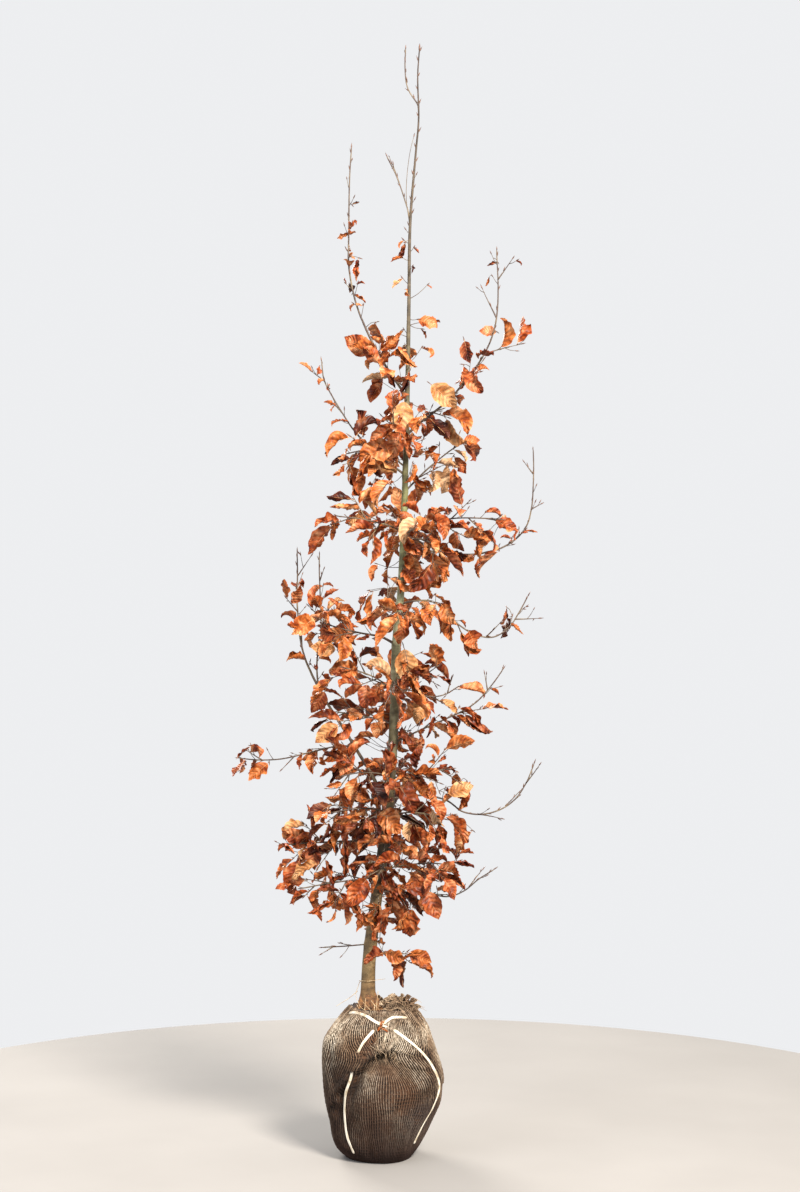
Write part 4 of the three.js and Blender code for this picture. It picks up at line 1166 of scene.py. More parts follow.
def scarred(radius, height, angle):
    """A radius with collars under the limbs and healed scars of lost ones, sunken in the middle."""
    feet = [
        [limb.at, limb.bearing[0], limb.girth * 1.9 + 2.2, limb.girth * 0.55]
        for limb in limbs.values() if limb.on == "trunk"
    ]
    scars = [[place, bearing, spread, spread * 0.22] for place, bearing, spread in SCARS]
    for place, bearing, spread, rise in feet + scars:
        aside = np.radians(turned(np.degrees(angle), bearing)) * trunk_radius(height)
        apart = np.sqrt(aside ** 2 + ((height - place) * 0.85) ** 2) / spread
        radius = radius + rise * np.exp(-apart ** 2)
        # A collar as wide as one of the scars is sunken in its middle too, by about half a millimetre.
        if spread in [scar[2] for scar in scars]:
            radius = radius - rise * 1.5 * np.exp(-(apart * 2.2) ** 2)
    return radius


def limb_skin(heap, limb, begin, end, sides, draw):
    """The bark of one stretch of a limb, from inside its parent or its bough outwards."""
    line = crooked(stretch(limb.line, begin, end), 5, 0.35, draw)
    shares = begin + (end - begin) * np.linspace(0, 1, len(line))
    radii = np.array([limb.radius_at(share) for share in shares])
    run = shares * limb.reach
    radii = radii * (1 + 0.05 * np.sin(run / 3.1) * np.sin(run / 41))
    radii = radii + 1.2 * np.exp(-run / 7) * (begin == 0)
    radii[-1] *= 0.8 if end == 1 else 1
    tube(heap, line, radii, sides=sides)


def all_boughs():
    heap = Heap()
    for limb in limbs.values():
        if limb.enter:
            limb_skin(heap, limb, 0, limb.enter, 12, seeded(limb.seed + SEEDS["boughs"]))
    return heap


def all_twigs(trunk_spurs):
    """Stems, side twigs and spurs, and the buds on them."""
    twigs, buds = Heap(), Heap()

    def end_bud(line, share=1.0):
        bud(buds, line[-1], direction_on(line, 1), draw(*BUD["length"]) * share)

    for limb in [*limbs.values(), trunk_spurs]:
        draw = seeded(limb_number(limb) + SEEDS["twigs"])
        if limb is not trunk_spurs:
            limb_skin(twigs, limb, limb.enter, 1, 8, draw)
            end_bud(limb.line)
        for twig in limb.twigs_grown:
            line = crooked(twig.line, 6, 0.5, draw)
            shares = np.linspace(0, 1, len(line))
            radii = [twig_radius(share) * (1 + 0.3 * max(0, 0.3 - share)) for share in shares]
            tube(twigs, line, radii, sides=7)
            end_bud(line)
        for spur in limb.spurs:
            line = curve_through(spur, 3)
            tube(twigs, line, np.linspace(SPUR["radius"], SPUR["tip_radius"], len(line)), sides=5)
            end_bud(line, BUD["spur_bud"])
        for root, ahead in limb.buds:
            bud(buds, root, ahead, draw(*BUD["length"]))
        for leaf in limb.leaves:
            lean = unit(leaf.ahead * 0.6 + leaf.up * 0.8)
            bud(buds, leaf.root, lean, draw(*BUD["length"]) * BUD["leaf_bud"])
    bud(buds, trunk_point(TRUNK["tip"] - BUD["end"]), np.array([0.05, 0, 1.0]), BUD["end"], swell=1.5)
    return twigs, buds


def limb_number(limb):
    return list(LIMBS).index(limb.name) if limb.name in LIMBS else len(LIMBS)


# ---- Leaves --------------------------------------------------------------------------------------


def leaf_frame(leaf, share):
    """The middle rib at shares of the leaf's length, with the directions up off it and to its side."""
    fine = np.linspace(0, 1, 33)
    past = np.clip((fine - BLADE["hooked"]) / (1 - BLADE["hooked"]), 0, 1)
    bend = leaf.curl * fine + leaf.hook * past ** 2
    step = leaf.size / (len(fine) - 1)
    run = np.concatenate([[0], np.cumsum((np.cos(bend[1:]) + np.cos(bend[:-1])) / 2 * step)])
    fall = np.concatenate([[0], np.cumsum((np.sin(bend[1:]) + np.sin(bend[:-1])) / 2 * step)])
    past = np.clip((share - BLADE["hooked"]) / (1 - BLADE["hooked"]), 0, 1)
    turn, bend = leaf.twist * share + leaf.wring * past ** 2, np.interp(share, fine, bend)[..., None]
    center = (leaf.root + leaf.ahead * np.interp(share, fine, run)[..., None]
              - leaf.up * np.interp(share, fine, fall)[..., None])
    flat_up = leaf.up * np.cos(bend) + leaf.ahead * np.sin(bend)
    flat_side = cross(leaf.ahead, leaf.up)
    turn = turn[..., None]
    up = flat_up * np.cos(turn) + flat_side * np.sin(turn)
    side = flat_side * np.cos(turn) - flat_up * np.sin(turn)
    return center, up, side


def dried(leaf, draw):
    """Gives a grown leaf the turns of its own that drying left in it."""
    leaf.veins = round(draw(*BLADE["veins"]))
    leaf.pleat = draw(*BLADE["pleat"]) * leaf.size
    leaf.hook = draw(*BLADE["hook"])
    leaf.wring = draw(*BLADE["wring"])
    state = vars(leaf).get("state") or ("rolled" if draw(0, 1) < BLADE["rolled"] else "half_open")
    leaf.rolls = [draw(*BLADE["roll_" + state]) for _ in range(2)]
    if state == "open":
        leaf.hook, leaf.wring = leaf.hook * 0.3, leaf.wring * 0.3
    leaf.waves = [[draw(*BLADE[name]) for name in ("wave", "waves", "phase")] for _ in range(2)]
    dent = ("crumple", "dents_along", "phase", "dents_across", "phase")
    leaf.dents = [[draw(*BLADE[name]) for name in dent] for _ in range(2)]
    leaf.ragged = [draw(*BLADE["phase"]) for _ in range(2)]
    leaf.lopsided = draw(*BLADE["lopsided"])


def blade_half_width(leaf, vein, along, aside):
    """Half the blade's width at places of it: an oval with a short point, toothed, torn and lopsided."""
    oval = np.sin(math.pi * np.clip(along, 0, 1) ** LEAF["widest"]) ** (LEAF["fullness"] + 0.4 * along ** 2)
    ragged = np.where(aside > 0, leaf.ragged[1], leaf.ragged[0])
    teeth = 1 + BLADE["teeth"] * np.cos(2 * math.pi * leaf.veins * vein)
    torn = 1 - BLADE["ragged"] * np.clip(np.sin(5 * along + ragged) * np.sin(11 * along + 2 * ragged), 0, 1)
    return leaf.size * LEAF["width"] * 0.5 * oval * teeth * torn * (1 + np.sign(aside) * leaf.lopsided)


def blade_lift(leaf, vein, along, aside):
    """How far places of the blade stand up off it: pleats between its veins, a waved margin and dents."""
    out = np.abs(aside)
    pleats = leaf.pleat * np.cos(2 * math.pi * leaf.veins * vein) * np.sqrt(out) * (1 - 0.3 * out ** 2)
    pleats = pleats * smooth_step(0, 0.12, vein) * smooth_step(0, 0.2, 1 - vein)
    depth, swings, begin = [np.where(aside > 0, leaf.waves[1][k], leaf.waves[0][k]) for k in range(3)]
    swing = np.sin(2 * math.pi * swings * along + begin)
    lift = pleats + depth * leaf.size * out ** 2 * swing * np.sin(math.pi * along)
    for depth, along_it, begin, across_it, aside_begin in leaf.dents:
        lift = lift + depth * leaf.size * np.sin(2 * math.pi * along_it * along + begin) * np.sin(
            math.pi * across_it * aside + aside_begin) * np.sin(math.pi * np.clip(along, 0, 1))
    return lift


def blade(heap, leaf):
    """A dry beech leaf: its rows run out along the veins, and its two halves roll up or down."""
    columns = np.array([-c for c in BLADE_COLUMNS[:0:-1]] + BLADE_COLUMNS)
    rows = np.linspace(0.012, 0.985, BLADE["rows_per_vein"] * leaf.veins + 1)
    vein, aside = rows[:, None], columns[None, :]
    out = np.abs(aside)
    along = vein + BLADE["lean"] * 4 * vein * (1 - vein) * out
    center, up, side = leaf_frame(leaf, LEAF["stalk"] + (1 - LEAF["stalk"]) * along)
    half = blade_half_width(leaf, vein, along, aside)
    lift = blade_lift(leaf, vein, along, aside)
    roll = np.where(aside > 0, leaf.rolls[1], leaf.rolls[0])
    roll = np.where(np.abs(roll) < 0.05, 0.05, roll)
    slope = leaf.fold + roll * out
    spread = (np.sin(slope) - math.sin(leaf.fold)) / roll
    rise = (math.cos(leaf.fold) - np.cos(slope)) / roll
    sideways = np.sign(aside) * half * spread - np.sign(aside) * np.sin(slope) * lift
    upward = half * rise + np.cos(slope) * lift
    points = center + side * sideways[..., None] + up * upward[..., None]
    base, _, _ = leaf_frame(leaf, np.array([LEAF["stalk"]]))
    tip, _, _ = leaf_frame(leaf, np.array([1.0]))
    # Quads in the troughs between the veins, short of the margin, wear the darker material: painted shade.
    painted_shade_rows = np.isin(np.arange(len(rows) - 1) % BLADE["rows_per_vein"], (1, 2))
    between_edges = abs(columns[1:] + columns[:-1]) / 2 < BLADE["margin"]
    marks = (painted_shade_rows[:, None] & between_edges[None, :]).astype(int).ravel()
    skin(heap, points, np.concatenate([base, tip]), is_round=False, marks=marks)


def rib(heap, leaf):
    """The stalk and the middle rib, which stand proud on both faces."""
    shares = np.array([0, 0.05, 0.1, 0.2, 0.32, 0.45, 0.6, 0.72, 0.82, 0.92, 0.985])
    center, up, _ = leaf_frame(leaf, shares)
    radii = BLADE["rib_radius"] * (0.55 + 0.45 * leaf.size / LEAF["length"]) * (1.15 - 0.9 * shares)
    tube(heap, center, radii, sides=5, ups=up)


def dealt(share):
    """The tint that a number from 0 to 1 falls on."""
    for tint, (part, *_) in LEAF_TINTS.items():
        share -= part
        if share < 0:
            return tint
    return "copper"


def bleached(tint, height, chance):
    """A tint as it suits a height of the crown, where chance is a number from 0 to 1."""
    high_up = smooth_step(BLEACHED["low"], BLEACHED["high"], height)
    if tint in ("russet", "chestnut") and chance < high_up * BLEACHED["dark_share"]:
        return "rust"
    if tint in ("tan", "buff") and chance < (1 - high_up) * BLEACHED["pale_share"]:
        return "copper"
    return tint


def has_fallen(leaf, chance):
    """Whether a leaf is missing from a part of the crown that holds fewer."""
    right, _, up = leaf.root
    return any(math.hypot(right - x, up - z) < reach and chance < share for x, z, reach, share in FALLEN)


def all_leaves(trunk_spurs):
    """Every leaf, dealt by its spray to one of the dry tints, and the ribs of all of them."""
    heaps = {tint: Heap() for tint in LEAF_TINTS}
    ribs = Heap()
    for limb in [*limbs.values(), trunk_spurs]:
        number = limb_number(limb)
        draw, fade, fall = [seeded(number + SEEDS[name]) for name in ("leaves", "bleached", "fallen")]
        main = dealt(draw(0, 1))
        for leaf in limb.leaves:
            is_placed = "tint" in vars(leaf)
            if not is_placed:
                tint = main if draw(0, 1) < 0.4 else dealt(draw(0, 1))
                leaf.tint = bleached(tint, leaf.root[2], fade(0, 1))
            dried(leaf, draw)
            if has_fallen(leaf, fall(0, 1)) and not is_placed:
                continue
            blade(heaps[leaf.tint], leaf)
            rib(ribs, leaf)
    return heaps, ribs


# ---- Root ball -----------------------------------------------------------------------------------


def smooth_outline(heights):
    """The ball's three reaches at any heights, with its rows joined smoothly."""
    table = np.array(BALL_OUTLINE, float)
    keys = table[:, 0]
    slopes = np.gradient(table, keys, axis=0)
    heights = np.clip(heights, keys[0], keys[-1])
    row = np.clip(np.searchsorted(keys, heights, side="right") - 1, 0, len(keys) - 2)
    span = keys[row + 1] - keys[row]
    t = ((heights - keys[row]) / span)[..., None]
    span = span[..., None]
    return (
        (2 * t ** 3 - 3 * t ** 2 + 1) * table[row] + (t ** 3 - 2 * t ** 2 + t) * span * slopes[row]
        + (3 * t ** 2 - 2 * t ** 3) * table[row + 1] + (t ** 3 - t ** 2) * span * slopes[row + 1]
    )


def beside_route(bearing, height, route):
    """How far points lie from a route, counted as negative on the left hand of one who walks along it."""
    nearest = np.full(np.broadcast(bearing, height).shape, FAR)
    hand = np.ones(nearest.shape)
    for (b0, h0), (b1, h1) in zip(route, route[1:]):
        x, y = turned(bearing, b0) * PER_DEGREE, height - h0
        run_x, run_y = turned(b1, b0) * PER_DEGREE, h1 - h0
        share = np.clip((x * run_x + y * run_y) / (run_x ** 2 + run_y ** 2), 0, 1)
        apart = np.hypot(x - share * run_x, y - share * run_y)
        hand = np.where(apart < nearest, np.sign(x * run_y - y * run_x), hand)
        nearest = np.minimum(nearest, apart)
    return nearest * hand


def from_pinch(bearing, height):
    """Millimetres to the right of and above the pinch, on the ball's chart."""
    return turned(bearing, BALL_PINCH["bearing"]) * PER_DEGREE, height - BALL_PINCH["height"]


def cloth_folds(bearing, height):
    """How far the hessian's creases, rays and gathers stand out from the plain ball."""
    relief = np.zeros(np.broadcast(bearing, height).shape)
    for depth, width, hollow, lip, runs_out, route in CREASES:
        apart = beside_route(bearing, height, route)
        end_bearing, end_height = route[-1]
        to_end = np.hypot(turned(bearing, end_bearing) * PER_DEGREE, height - end_height)
        lasting = smooth_step(0, runs_out, to_end)
        relief -= depth * lasting * np.exp(-(apart / np.where(apart < 0, hollow, width)) ** 2)
        relief += lip * lasting * np.exp(-((apart - 1.7 * width) / (1.3 * width)) ** 2)
    aside, above = from_pinch(bearing, height)
    reach, around = np.hypot(aside, above), np.arctan2(above, aside)
    rays = np.cos(RAYS["count"] * around + 1.3 * np.sin(2 * around) + reach / 30)
    relief += RAYS["depth"] * rays * smooth_step(RAYS["begin"], RAYS["begin"] + 16, reach) * (
        1 - smooth_step(RAYS["end"] - 40, RAYS["end"], reach))
    rising = smooth_step(GATHERS["from_height"], CLOTH_TOP, height)
    folds = np.cos(np.radians(GATHERS["count"] * bearing) + 1.5 * np.sin(np.radians(3 * bearing)))
    relief += GATHERS["depth"] * rising * folds
    return relief + 1.2 * np.sin(np.radians(9 * bearing) + height / 37) * np.sin(
        height / 53 + np.radians(2 * bearing))


def cloth_relief(bearing, height):
    """How far the hessian stands out: its folds, pressed in under the twine, and one fold over a strand."""
    relief = cloth_folds(bearing, height)
    strands = np.full(relief.shape, FAR)
    for route in TWINE_ROUTES.values():
        strands = np.minimum(strands, abs(beside_route(bearing, height, route)))
    free, pressed = smooth_step(5, 26, strands), 1 - smooth_step(3, 12, strands)
    relief = SLACK * free - PRESSED * pressed + relief * (1 - pressed)
    apart = beside_route(bearing, height, TWINE_ROUTES[COVERED["strand"]])
    inside = smooth_step(COVERED["low"], COVERED["low"] + 8, height) * (
        1 - smooth_step(COVERED["high"] - 8, COVERED["high"], height))
    relief += COVERED["rise"] * inside * np.exp(-(apart / COVERED["width"]) ** 2)
    return relief * smooth_step(0, 30, height)


def ball_face(bearing, height, offset):
    """Points on the hessian at bearings and heights, moved out by an offset."""
    outline = smooth_outline(height)
    right, left, depth = outline[..., 1], outline[..., 2], outline[..., 3]
    to_right, to_back = np.cos(np.radians(bearing)), np.sin(np.radians(bearing))
    aside = np.radians(turned(bearing, BALL_PINCH["bearing"])) * depth / BALL_PINCH["spread"]
    fall = np.where(height > BALL_PINCH["height"], BALL_PINCH["length"], BALL_PINCH["spread"])
    above = (height - BALL_PINCH["height"]) / fall
    pinch = BALL_PINCH["depth"] * np.exp(-aside ** 2 - above ** 2)
    fade = np.minimum(height / 60, 1)
    lobes = BALL_LOBES["depth"] * fade * np.cos(np.radians(BALL_LOBES["count"] * bearing) + height / 70)
    grow = offset + lobes - pinch
    side_reach = np.where(to_right > 0, right, left)
    return np.stack([
        to_right * (side_reach + grow),
        to_back * (depth + grow),
        np.broadcast_to(height, grow.shape).astype(float),
    ], axis=-1)


def ball_surface(bearing, height):
    """The dressed hessian: points, and the way out of it at each."""
    bearing, height = np.broadcast_arrays(np.asarray(bearing, float), np.asarray(height, float))
    here = ball_face(bearing, height, cloth_relief(bearing, height))
    round_it = ball_face(bearing + 0.6, height, cloth_relief(bearing + 0.6, height)) - here
    top = height + 1.2
    up_it = ball_face(bearing, top, cloth_relief(bearing, top)) - ball_face(
        bearing, top - 1.5, cloth_relief(bearing, top - 1.5))
    return here, normalised(np.cross(round_it, up_it))


def draped(bearing, height):
    """Where a thread's even place on the chart goes: in towards the pinch, and wandering a little."""
    aside, above = from_pinch(bearing, height)
    fall = np.where(above > 0, DRAW_IN["above"], DRAW_IN["below"])
    near = np.exp(-(aside / DRAW_IN["aside"]) ** 2 - (above / fall) ** 2)
    inside = smooth_step(0, 40, height) * smooth_step(0, 26, CLOTH_TOP - height)
    wander = 1.5 * np.sin(height / 43 + np.radians(3 * bearing))
    wander = wander + 0.8 * np.sin(height / 17 + np.radians(7 * bearing))
    lilt = 3.0 * np.sin(np.radians(4 * bearing) + 1) + 1.2 * np.sin(np.radians(11 * bearing))
    return (
        bearing - turned(bearing, BALL_PINCH["bearing"]) * DRAW_IN["strength"] * near + wander * inside,
        np.clip(height - above * DRAW_IN["weft"] * near + lilt * inside, 0.4, CLOTH_TOP),
    )


def narrowing(bearing, height):
    """How near threads lie to where they are drawn together, and how thin they are for it."""
    aside, above = from_pinch(bearing, height)
    near = np.exp(-(aside / 42) ** 2 - (above / 34) ** 2)
    return near, (1 - 0.6 * near) * (1 - 0.35 * smooth_step(285, CLOTH_TOP, height))


def climb_heights(step):
    """Heights that lie evenly along the ball's rounded side, from its underside to its neck."""
    fine = np.linspace(0, CLOTH_TOP, 400)
    side = smooth_outline(fine)[:, 1:].mean(axis=1)
    run = np.concatenate([[0], np.cumsum(np.hypot(np.diff(fine), np.diff(side)))])
    count = round(run[-1] / step)
    return np.interp(np.linspace(0, run[-1], count + 1), run, fine)


def thread(heap, bearing, height, wave, radius, draw):
    """One thread through places of the chart, over and under those that cross it."""
    bearing, height = draped(bearing, height)
    points, out = ball_surface(bearing, height)
    near, thinness = narrowing(bearing, height)
    lift = THREAD["lift"] + THREAD["rise"] * np.cos(math.pi * wave) * thinness
    lift = lift + draw(*THREAD["loose"]) * near
    radii = radius * draw(*THREAD["girths"]) * thinness
    tube(heap, points + out * lift[:, None], radii, THREAD["sides"], ups=out)


def hessian():
    """The cloth's threads over and under each other, and the soiled cloth that shows between them."""
    warp, weft, under = Heap(), Heap(), Heap()
    heights = climb_heights(THREAD["weft_spacing"] / 2)
    usual_reach = 125  # of the ball, where the threads' spacing is counted
    count = round(2 * math.pi * usual_reach / THREAD["spacing"])
    steps, turns = np.arange(len(heights)), np.arange(2 * count + 1)
    draw = seeded(CLOTH_SEEDS["threads"])
    for i in range(count):
        thread(warp, np.full(len(steps), i * 360 / count), heights, steps / 2 + i, THREAD["radius"], draw)
    for j in range(1, len(heights) // 2):
        level = np.full(len(turns), heights[2 * j])
        thread(weft, turns * 180 / count, level, turns / 2 + j + 1, THREAD["weft_radius"], draw)
    bearing, height = np.meshgrid(np.arange(0, 360, 2), climb_heights(4))
    points, out = ball_surface(bearing, height)
    points = points - out * 0.4  # so that the threads lie on it
    points[0, :, 2] = 0
    skin(under, points, np.array([[-10, 0, 0], [-14, 0, CLOTH_TOP - 6]], float))
    return warp, weft, under


def ruffle_surface(ruffle, around, up):
    """A point of a gathered strip: around is its bearing in radians, up the share of its height."""
    (right, back), reach, foot, edge, lean, waves, swing = ruffle
    sway = np.cos(waves * around + 0.9 * np.sin(2 * around)) * swing * (0.25 + 0.75 * up)
    ripple = 1.3 * np.sin(3.1 * waves * around + 2 * up)
    radius = reach + lean * up ** 1.6 + sway + ripple * up
    edge = edge + 4 * np.sin(3 * around + 1) + 3 * np.sin(7 * around)
    height = foot + (edge - foot) * np.sin(up * math.pi * 0.56) / math.sin(math.pi * 0.56)
    return ring_points(right, back, radius, around, height, squash=0.82)


def ruffle_points(ruffle, around, up):
    """Points of the strip, and the way out of it at each."""
    here = ruffle_surface(ruffle, around, up)
    round_it = ruffle_surface(ruffle, around + 0.01, up) - here
    up_it = ruffle_surface(ruffle, around, up + 0.01) - here
    return here, normalised(np.cross(round_it, up_it))


def ruffle_thread(heap, ruffle, around, up, wave, radius):
    """One thread of the strip over and under those that cross it; gives its points."""
    points, out = ruffle_points(ruffle, around, up)
    lift = RUFFLE_THREAD["rise"] * np.cos(math.pi * wave)
    tube(heap, points + out * lift[:, None], radius, THREAD["sides"], ups=out)
    return points


def ruffles():
    """The gathered ends of the cloth beside the trunk: a woven strip in waves, frayed at its edge."""
    threads, under, frays = Heap(), Heap(), Heap()
    draw = seeded(CLOTH_SEEDS["neck"])
    wefts = RUFFLE_THREAD["weft_count"]
    ups = np.linspace(0, 1, 11)
    for ruffle in RUFFLES:
        _, reach, *_ = ruffle
        # Half as many threads again as the plain ring would have, since the strip is gathered.
        count = round(2 * math.pi * reach * 1.5 / RUFFLE_THREAD["spacing"])
        for i in range(count):
            around, wave = np.full(len(ups), i / count * 2 * math.pi), np.arange(len(ups)) / 2 + i
            points = ruffle_thread(threads, ruffle, around, ups, wave, RUFFLE_THREAD["radius"])
            if draw(0, 1) < RUFFLE_THREAD["loose"]:
                fray(frays, points[-1], unit(points[-1] - points[-2]), draw)
        turns = np.arange(2 * count + 1)
        for j in range(1, wefts + 1):
            around, up, wave = turns * math.pi / count, np.full(len(turns), j / wefts), turns / 2 + j + 1
            ruffle_thread(threads, ruffle, around, up, wave, RUFFLE_THREAD["weft_radius"])
        around, up = np.meshgrid(round_angles(120), np.linspace(0, 0.98, 9))
        points, _ = ruffle_points(ruffle, around, up)
        under.add(points.reshape(-1, 3), grid_quads(*around.shape, True))
    return threads, under, frays


def fray(heap, root, ahead, draw, kind=FRAY):
    """A loose end of jute that curls away."""
    length = draw(0.3, 1) * kind["longest"]
    sag = np.array([draw(-1, 1), draw(-1, 1), draw(-1, 0.6)])
    shares = np.linspace(0, 1, 5)[:, None]
    line = root + (ahead * shares + sag * 0.7 * shares ** 2) * length
    tube(heap, line, np.linspace(kind["radius"], FRAY["tip_radius"], 5), 4)


def pinch_frays(heap):
    """Broken threads that stand off the cloth where it is pinched together."""
    draw = seeded(CLOTH_SEEDS["pinch"])
    for _ in range(PINCH_FRAYS["count"]):
        bearing = BALL_PINCH["bearing"] + draw(*PINCH_FRAYS["aside"]) / PER_DEGREE
        root, out = ball_surface(bearing, BALL_PINCH["height"] + draw(*PINCH_FRAYS["above"]))
        side = across(out, np.array([1.0, 0, 0]))
        ahead = unit(out * draw(0.3, 0.9) + side * draw(-0.6, 0.8) + [0, 0, draw(-1.3, 0.1)])
        fray(heap, root, ahead, draw, PINCH_FRAYS)


def root_collar():
    """Where the trunk spreads into the ball: root bark and soil, ridged, with crumbs on it."""
    heap = Heap()
    draw = seeded(CLOTH_SEEDS["collar"])
    share, angle = np.meshgrid(np.linspace(0, 1, 20), round_angles(60), indexing="ij")
    ends = np.array([[-36, 0, 370], [-24, 0, 300]], float)
    skin(heap, collar_face(share, angle), ends, inside_out=True)
    for _ in range(CRUMBS["count"]):
        share, angle = np.array(draw(0.3, 0.95)), np.array(draw(0, 2 * math.pi))
        crumb(heap, collar_face(share, angle), draw(*CRUMBS["radius"]), draw)
    return heap


def collar_face(share, angle):
    """A point of the collar: share 0 is up against the trunk and 1 out under the cloth."""
    reach = COLLAR["trunk"] + COLLAR["width"] * share
    ridge = np.cos(5 * angle + 0.7 + share) + 0.5 * np.cos(8 * angle + 2)
    ridge = ridge + 0.3 * np.cos(17 * angle + 9 * share)
    height = COLLAR["foot"] + COLLAR["flare"] * np.exp(-(reach - COLLAR["trunk"]) / COLLAR["fade"])
    height = height + 1.2 * np.sin(reach / 3 + 3 * np.cos(2 * angle))
    reach = reach + COLLAR["ridges"] * ridge * np.exp(-((reach - 26) / 16) ** 2)
    return ring_points(COLLAR["middle"] + COLLAR["moves"] * share, 0, reach, angle, height, squash=0.92)


def crumb(heap, place, radius, draw):
    """A small lump of soil with an uneven skin."""
    rows, sides = 4, 6
    tall, angle = np.meshgrid(np.linspace(0.25, 0.75, rows) * math.pi, round_angles(sides), indexing="ij")
    rough = np.array([[draw(0.75, 1.2) for _ in range(sides)] for _ in range(rows)]) * radius
    points = ring_points(0, 0, rough * np.sin(tall), angle, rough * np.cos(tall) * 0.8)
    ends = np.array([[0, 0, radius * 0.7], [0, 0, -radius * 0.7]])
    skin(heap, points + place, ends + place, inside_out=True)


def straws():
    """Pale root fibres and straws that lie about the neck."""
    heap = Heap()
    for i, route in enumerate(STRAWS):
        line = curve_through(route, 6)
        radius = STRAW["fibre_radius" if i < STRAW["fibres"] else "radius"]
        tube(heap, line, np.linspace(radius, STRAW["tip_radius"], len(line)), 6)
    return heap


def twine_strand(route):
    """One flat strand on the hessian, wider and narrower where it is twisted."""
    bearings, heights = np.array(route, float).T
    lift = TWINE["thickness"] / 2 - TWINE["sunk"]
    knots = ball_face(bearings, heights, lift + TWINE["over_threads"])
    rough = curve_through(knots, 12)
    count = round(length_of(rough) / TWINE["step"])
    line = np.array([point_on(rough, share) for share in np.linspace(0, 1, count + 1)])
    outward = line * [1, 1, 0.6] - [0, 0, BALL_PINCH["height"] * 0.6]
    run = np.linspace(0, length_of(line), len(line))
    ups = normalised(outward)
    ahead = normalised(np.gradient(line, axis=0))
    lean = 0.3 * np.sin(run / 24) + 0.08 * np.sin(run / 7.3)
    ups = normalised(ups + np.cross(ahead, ups) * lean[:, None])
    widths = TWINE["width"] / 2 * (0.95 + 0.11 * np.sin(run / 23 + bearings[0]) + 0.03 * np.sin(run / 5.1))
    widths = widths * np.clip(np.minimum(run, run[-1] - run) / 5 + 0.35, 0, 1)
    heap = Heap()
    tube(heap, line, widths, ups=ups, outline=TWINE_SECTION)
    return heap


def twine_knot():
    """The overhand knot where the strands meet, and its two short ends."""
    heap = Heap()
    place = ball_face(np.array(float(KNOT["bearing"])), np.array(float(KNOT["height"])), KNOT["lift"])
    out = unit(np.array([place[0] * 0.4, place[1], 60.0]) * [1, 1, 0.6])
    level = across(out, np.array([1.0, 0, 0.25]))
    steep = cross(out, level)
    t = np.linspace(0, 2 * math.pi, 61)
    loop = (
        level * (np.sin(t) + 2 * np.sin(2 * t))[:, None] * KNOT["size"]
        + steep * (np.cos(t) - 2 * np.cos(2 * t))[:, None] * KNOT["size"] * 0.75
        - out * np.sin(3 * t)[:, None] * KNOT["size"] * 0.6
    )
    tube(heap, place + loop, KNOT["radius"], 8)
    for turn, length in KNOT["ends"]:
        ahead = level * math.cos(turn) - steep * 0.5 + out * 0.15
        shares = np.linspace(0, 1, 8)[:, None]
        end = place + ahead * shares * length - out * shares ** 2 * 5 + [0, 0, -3]
        tube(heap, end, np.linspace(2.2, 1.3, 8), ups=np.broadcast_to(out, (8, 3)), outline=TWINE_SECTION)
    return heap


# ---- Materials -----------------------------------------------------------------------------------


def linear(hex_colour):
    """An sRGB hex value as linear red, green and blue, with full alpha."""
    channels = [int(hex_colour[i:i + 2], 16) / 255 for i in (1, 3, 5)]
    return [c / 12.92 if c <= 0.04045 else ((c + 0.055) / 1.055) ** 2.4 for c in channels] + [1]


def add(tree, kind, settings=None, inputs=None, stops=None):
    """Adds a node. An input given as another node's output is linked to it; stops are a ramp's colours."""
    made = tree.nodes.new(kind)
    for name, value in (settings or {}).items():
        setattr(made, name, value)
    for name, value in (inputs or {}).items():
        if isinstance(value, bpy.types.NodeSocket):
            tree.links.new(value, made.inputs[name])
        else:
            made.inputs[name].default_value = value
    for i, (place, colour) in enumerate(stops or []):
        element = made.color_ramp.elements[i] if i < 2 else made.color_ramp.elements.new(place)
        element.position = place
        element.color = linear(colour)
    return made


def per_metre(size):
    """A pattern's scale from the real size of one of its features, in millimetres."""
    return 1 / (size * MM)


def patchy(tree, size, detail, stops, roughness=0.5, place=None):
    """A colour that changes in soft patches of a size in millimetres, along the stops of a ramp."""
    patches = add(tree, "ShaderNodeTexNoise", inputs={
        "Vector": place or add(tree, "ShaderNodeTexCoord").outputs["Object"], "Scale": per_metre(size),
        "Detail": detail, "Roughness": roughness,
    })
    return add(tree, "ShaderNodeValToRGB", inputs={"Fac": patches.outputs["Fac"]}, stops=stops).outputs[0]


def dented(tree, size, detail, strength, depth, roughness=0.5, place=None):
    """The normal of a skin with fine dents, whose size and depth are in millimetres."""
    dents = add(tree, "ShaderNodeTexNoise", inputs={
        "Vector": place or add(tree, "ShaderNodeTexCoord").outputs["Object"], "Scale": per_metre(size),
        "Detail": detail, "Roughness": roughness,
    })
    return add(tree, "ShaderNodeBump", inputs={
        "Height": dents.outputs["Fac"], "Strength": strength, "Distance": depth * MM,
    }).outputs[0]


def material(make, name=None):
    """A list with one material, whose make(tree) returns the settings of its shader's sockets. It is named
    for that function where no name is given."""
    made = bpy.data.materials.new(name or make.__name__)
    made.use_nodes = True
    tree = made.node_tree
    tree.nodes.clear()
    shader = add(tree, "ShaderNodeBsdfPrincipled", inputs=make(tree))
    add(tree, "ShaderNodeOutputMaterial", inputs={"Surface": shader.outputs["BSDF"]})
    return [made]


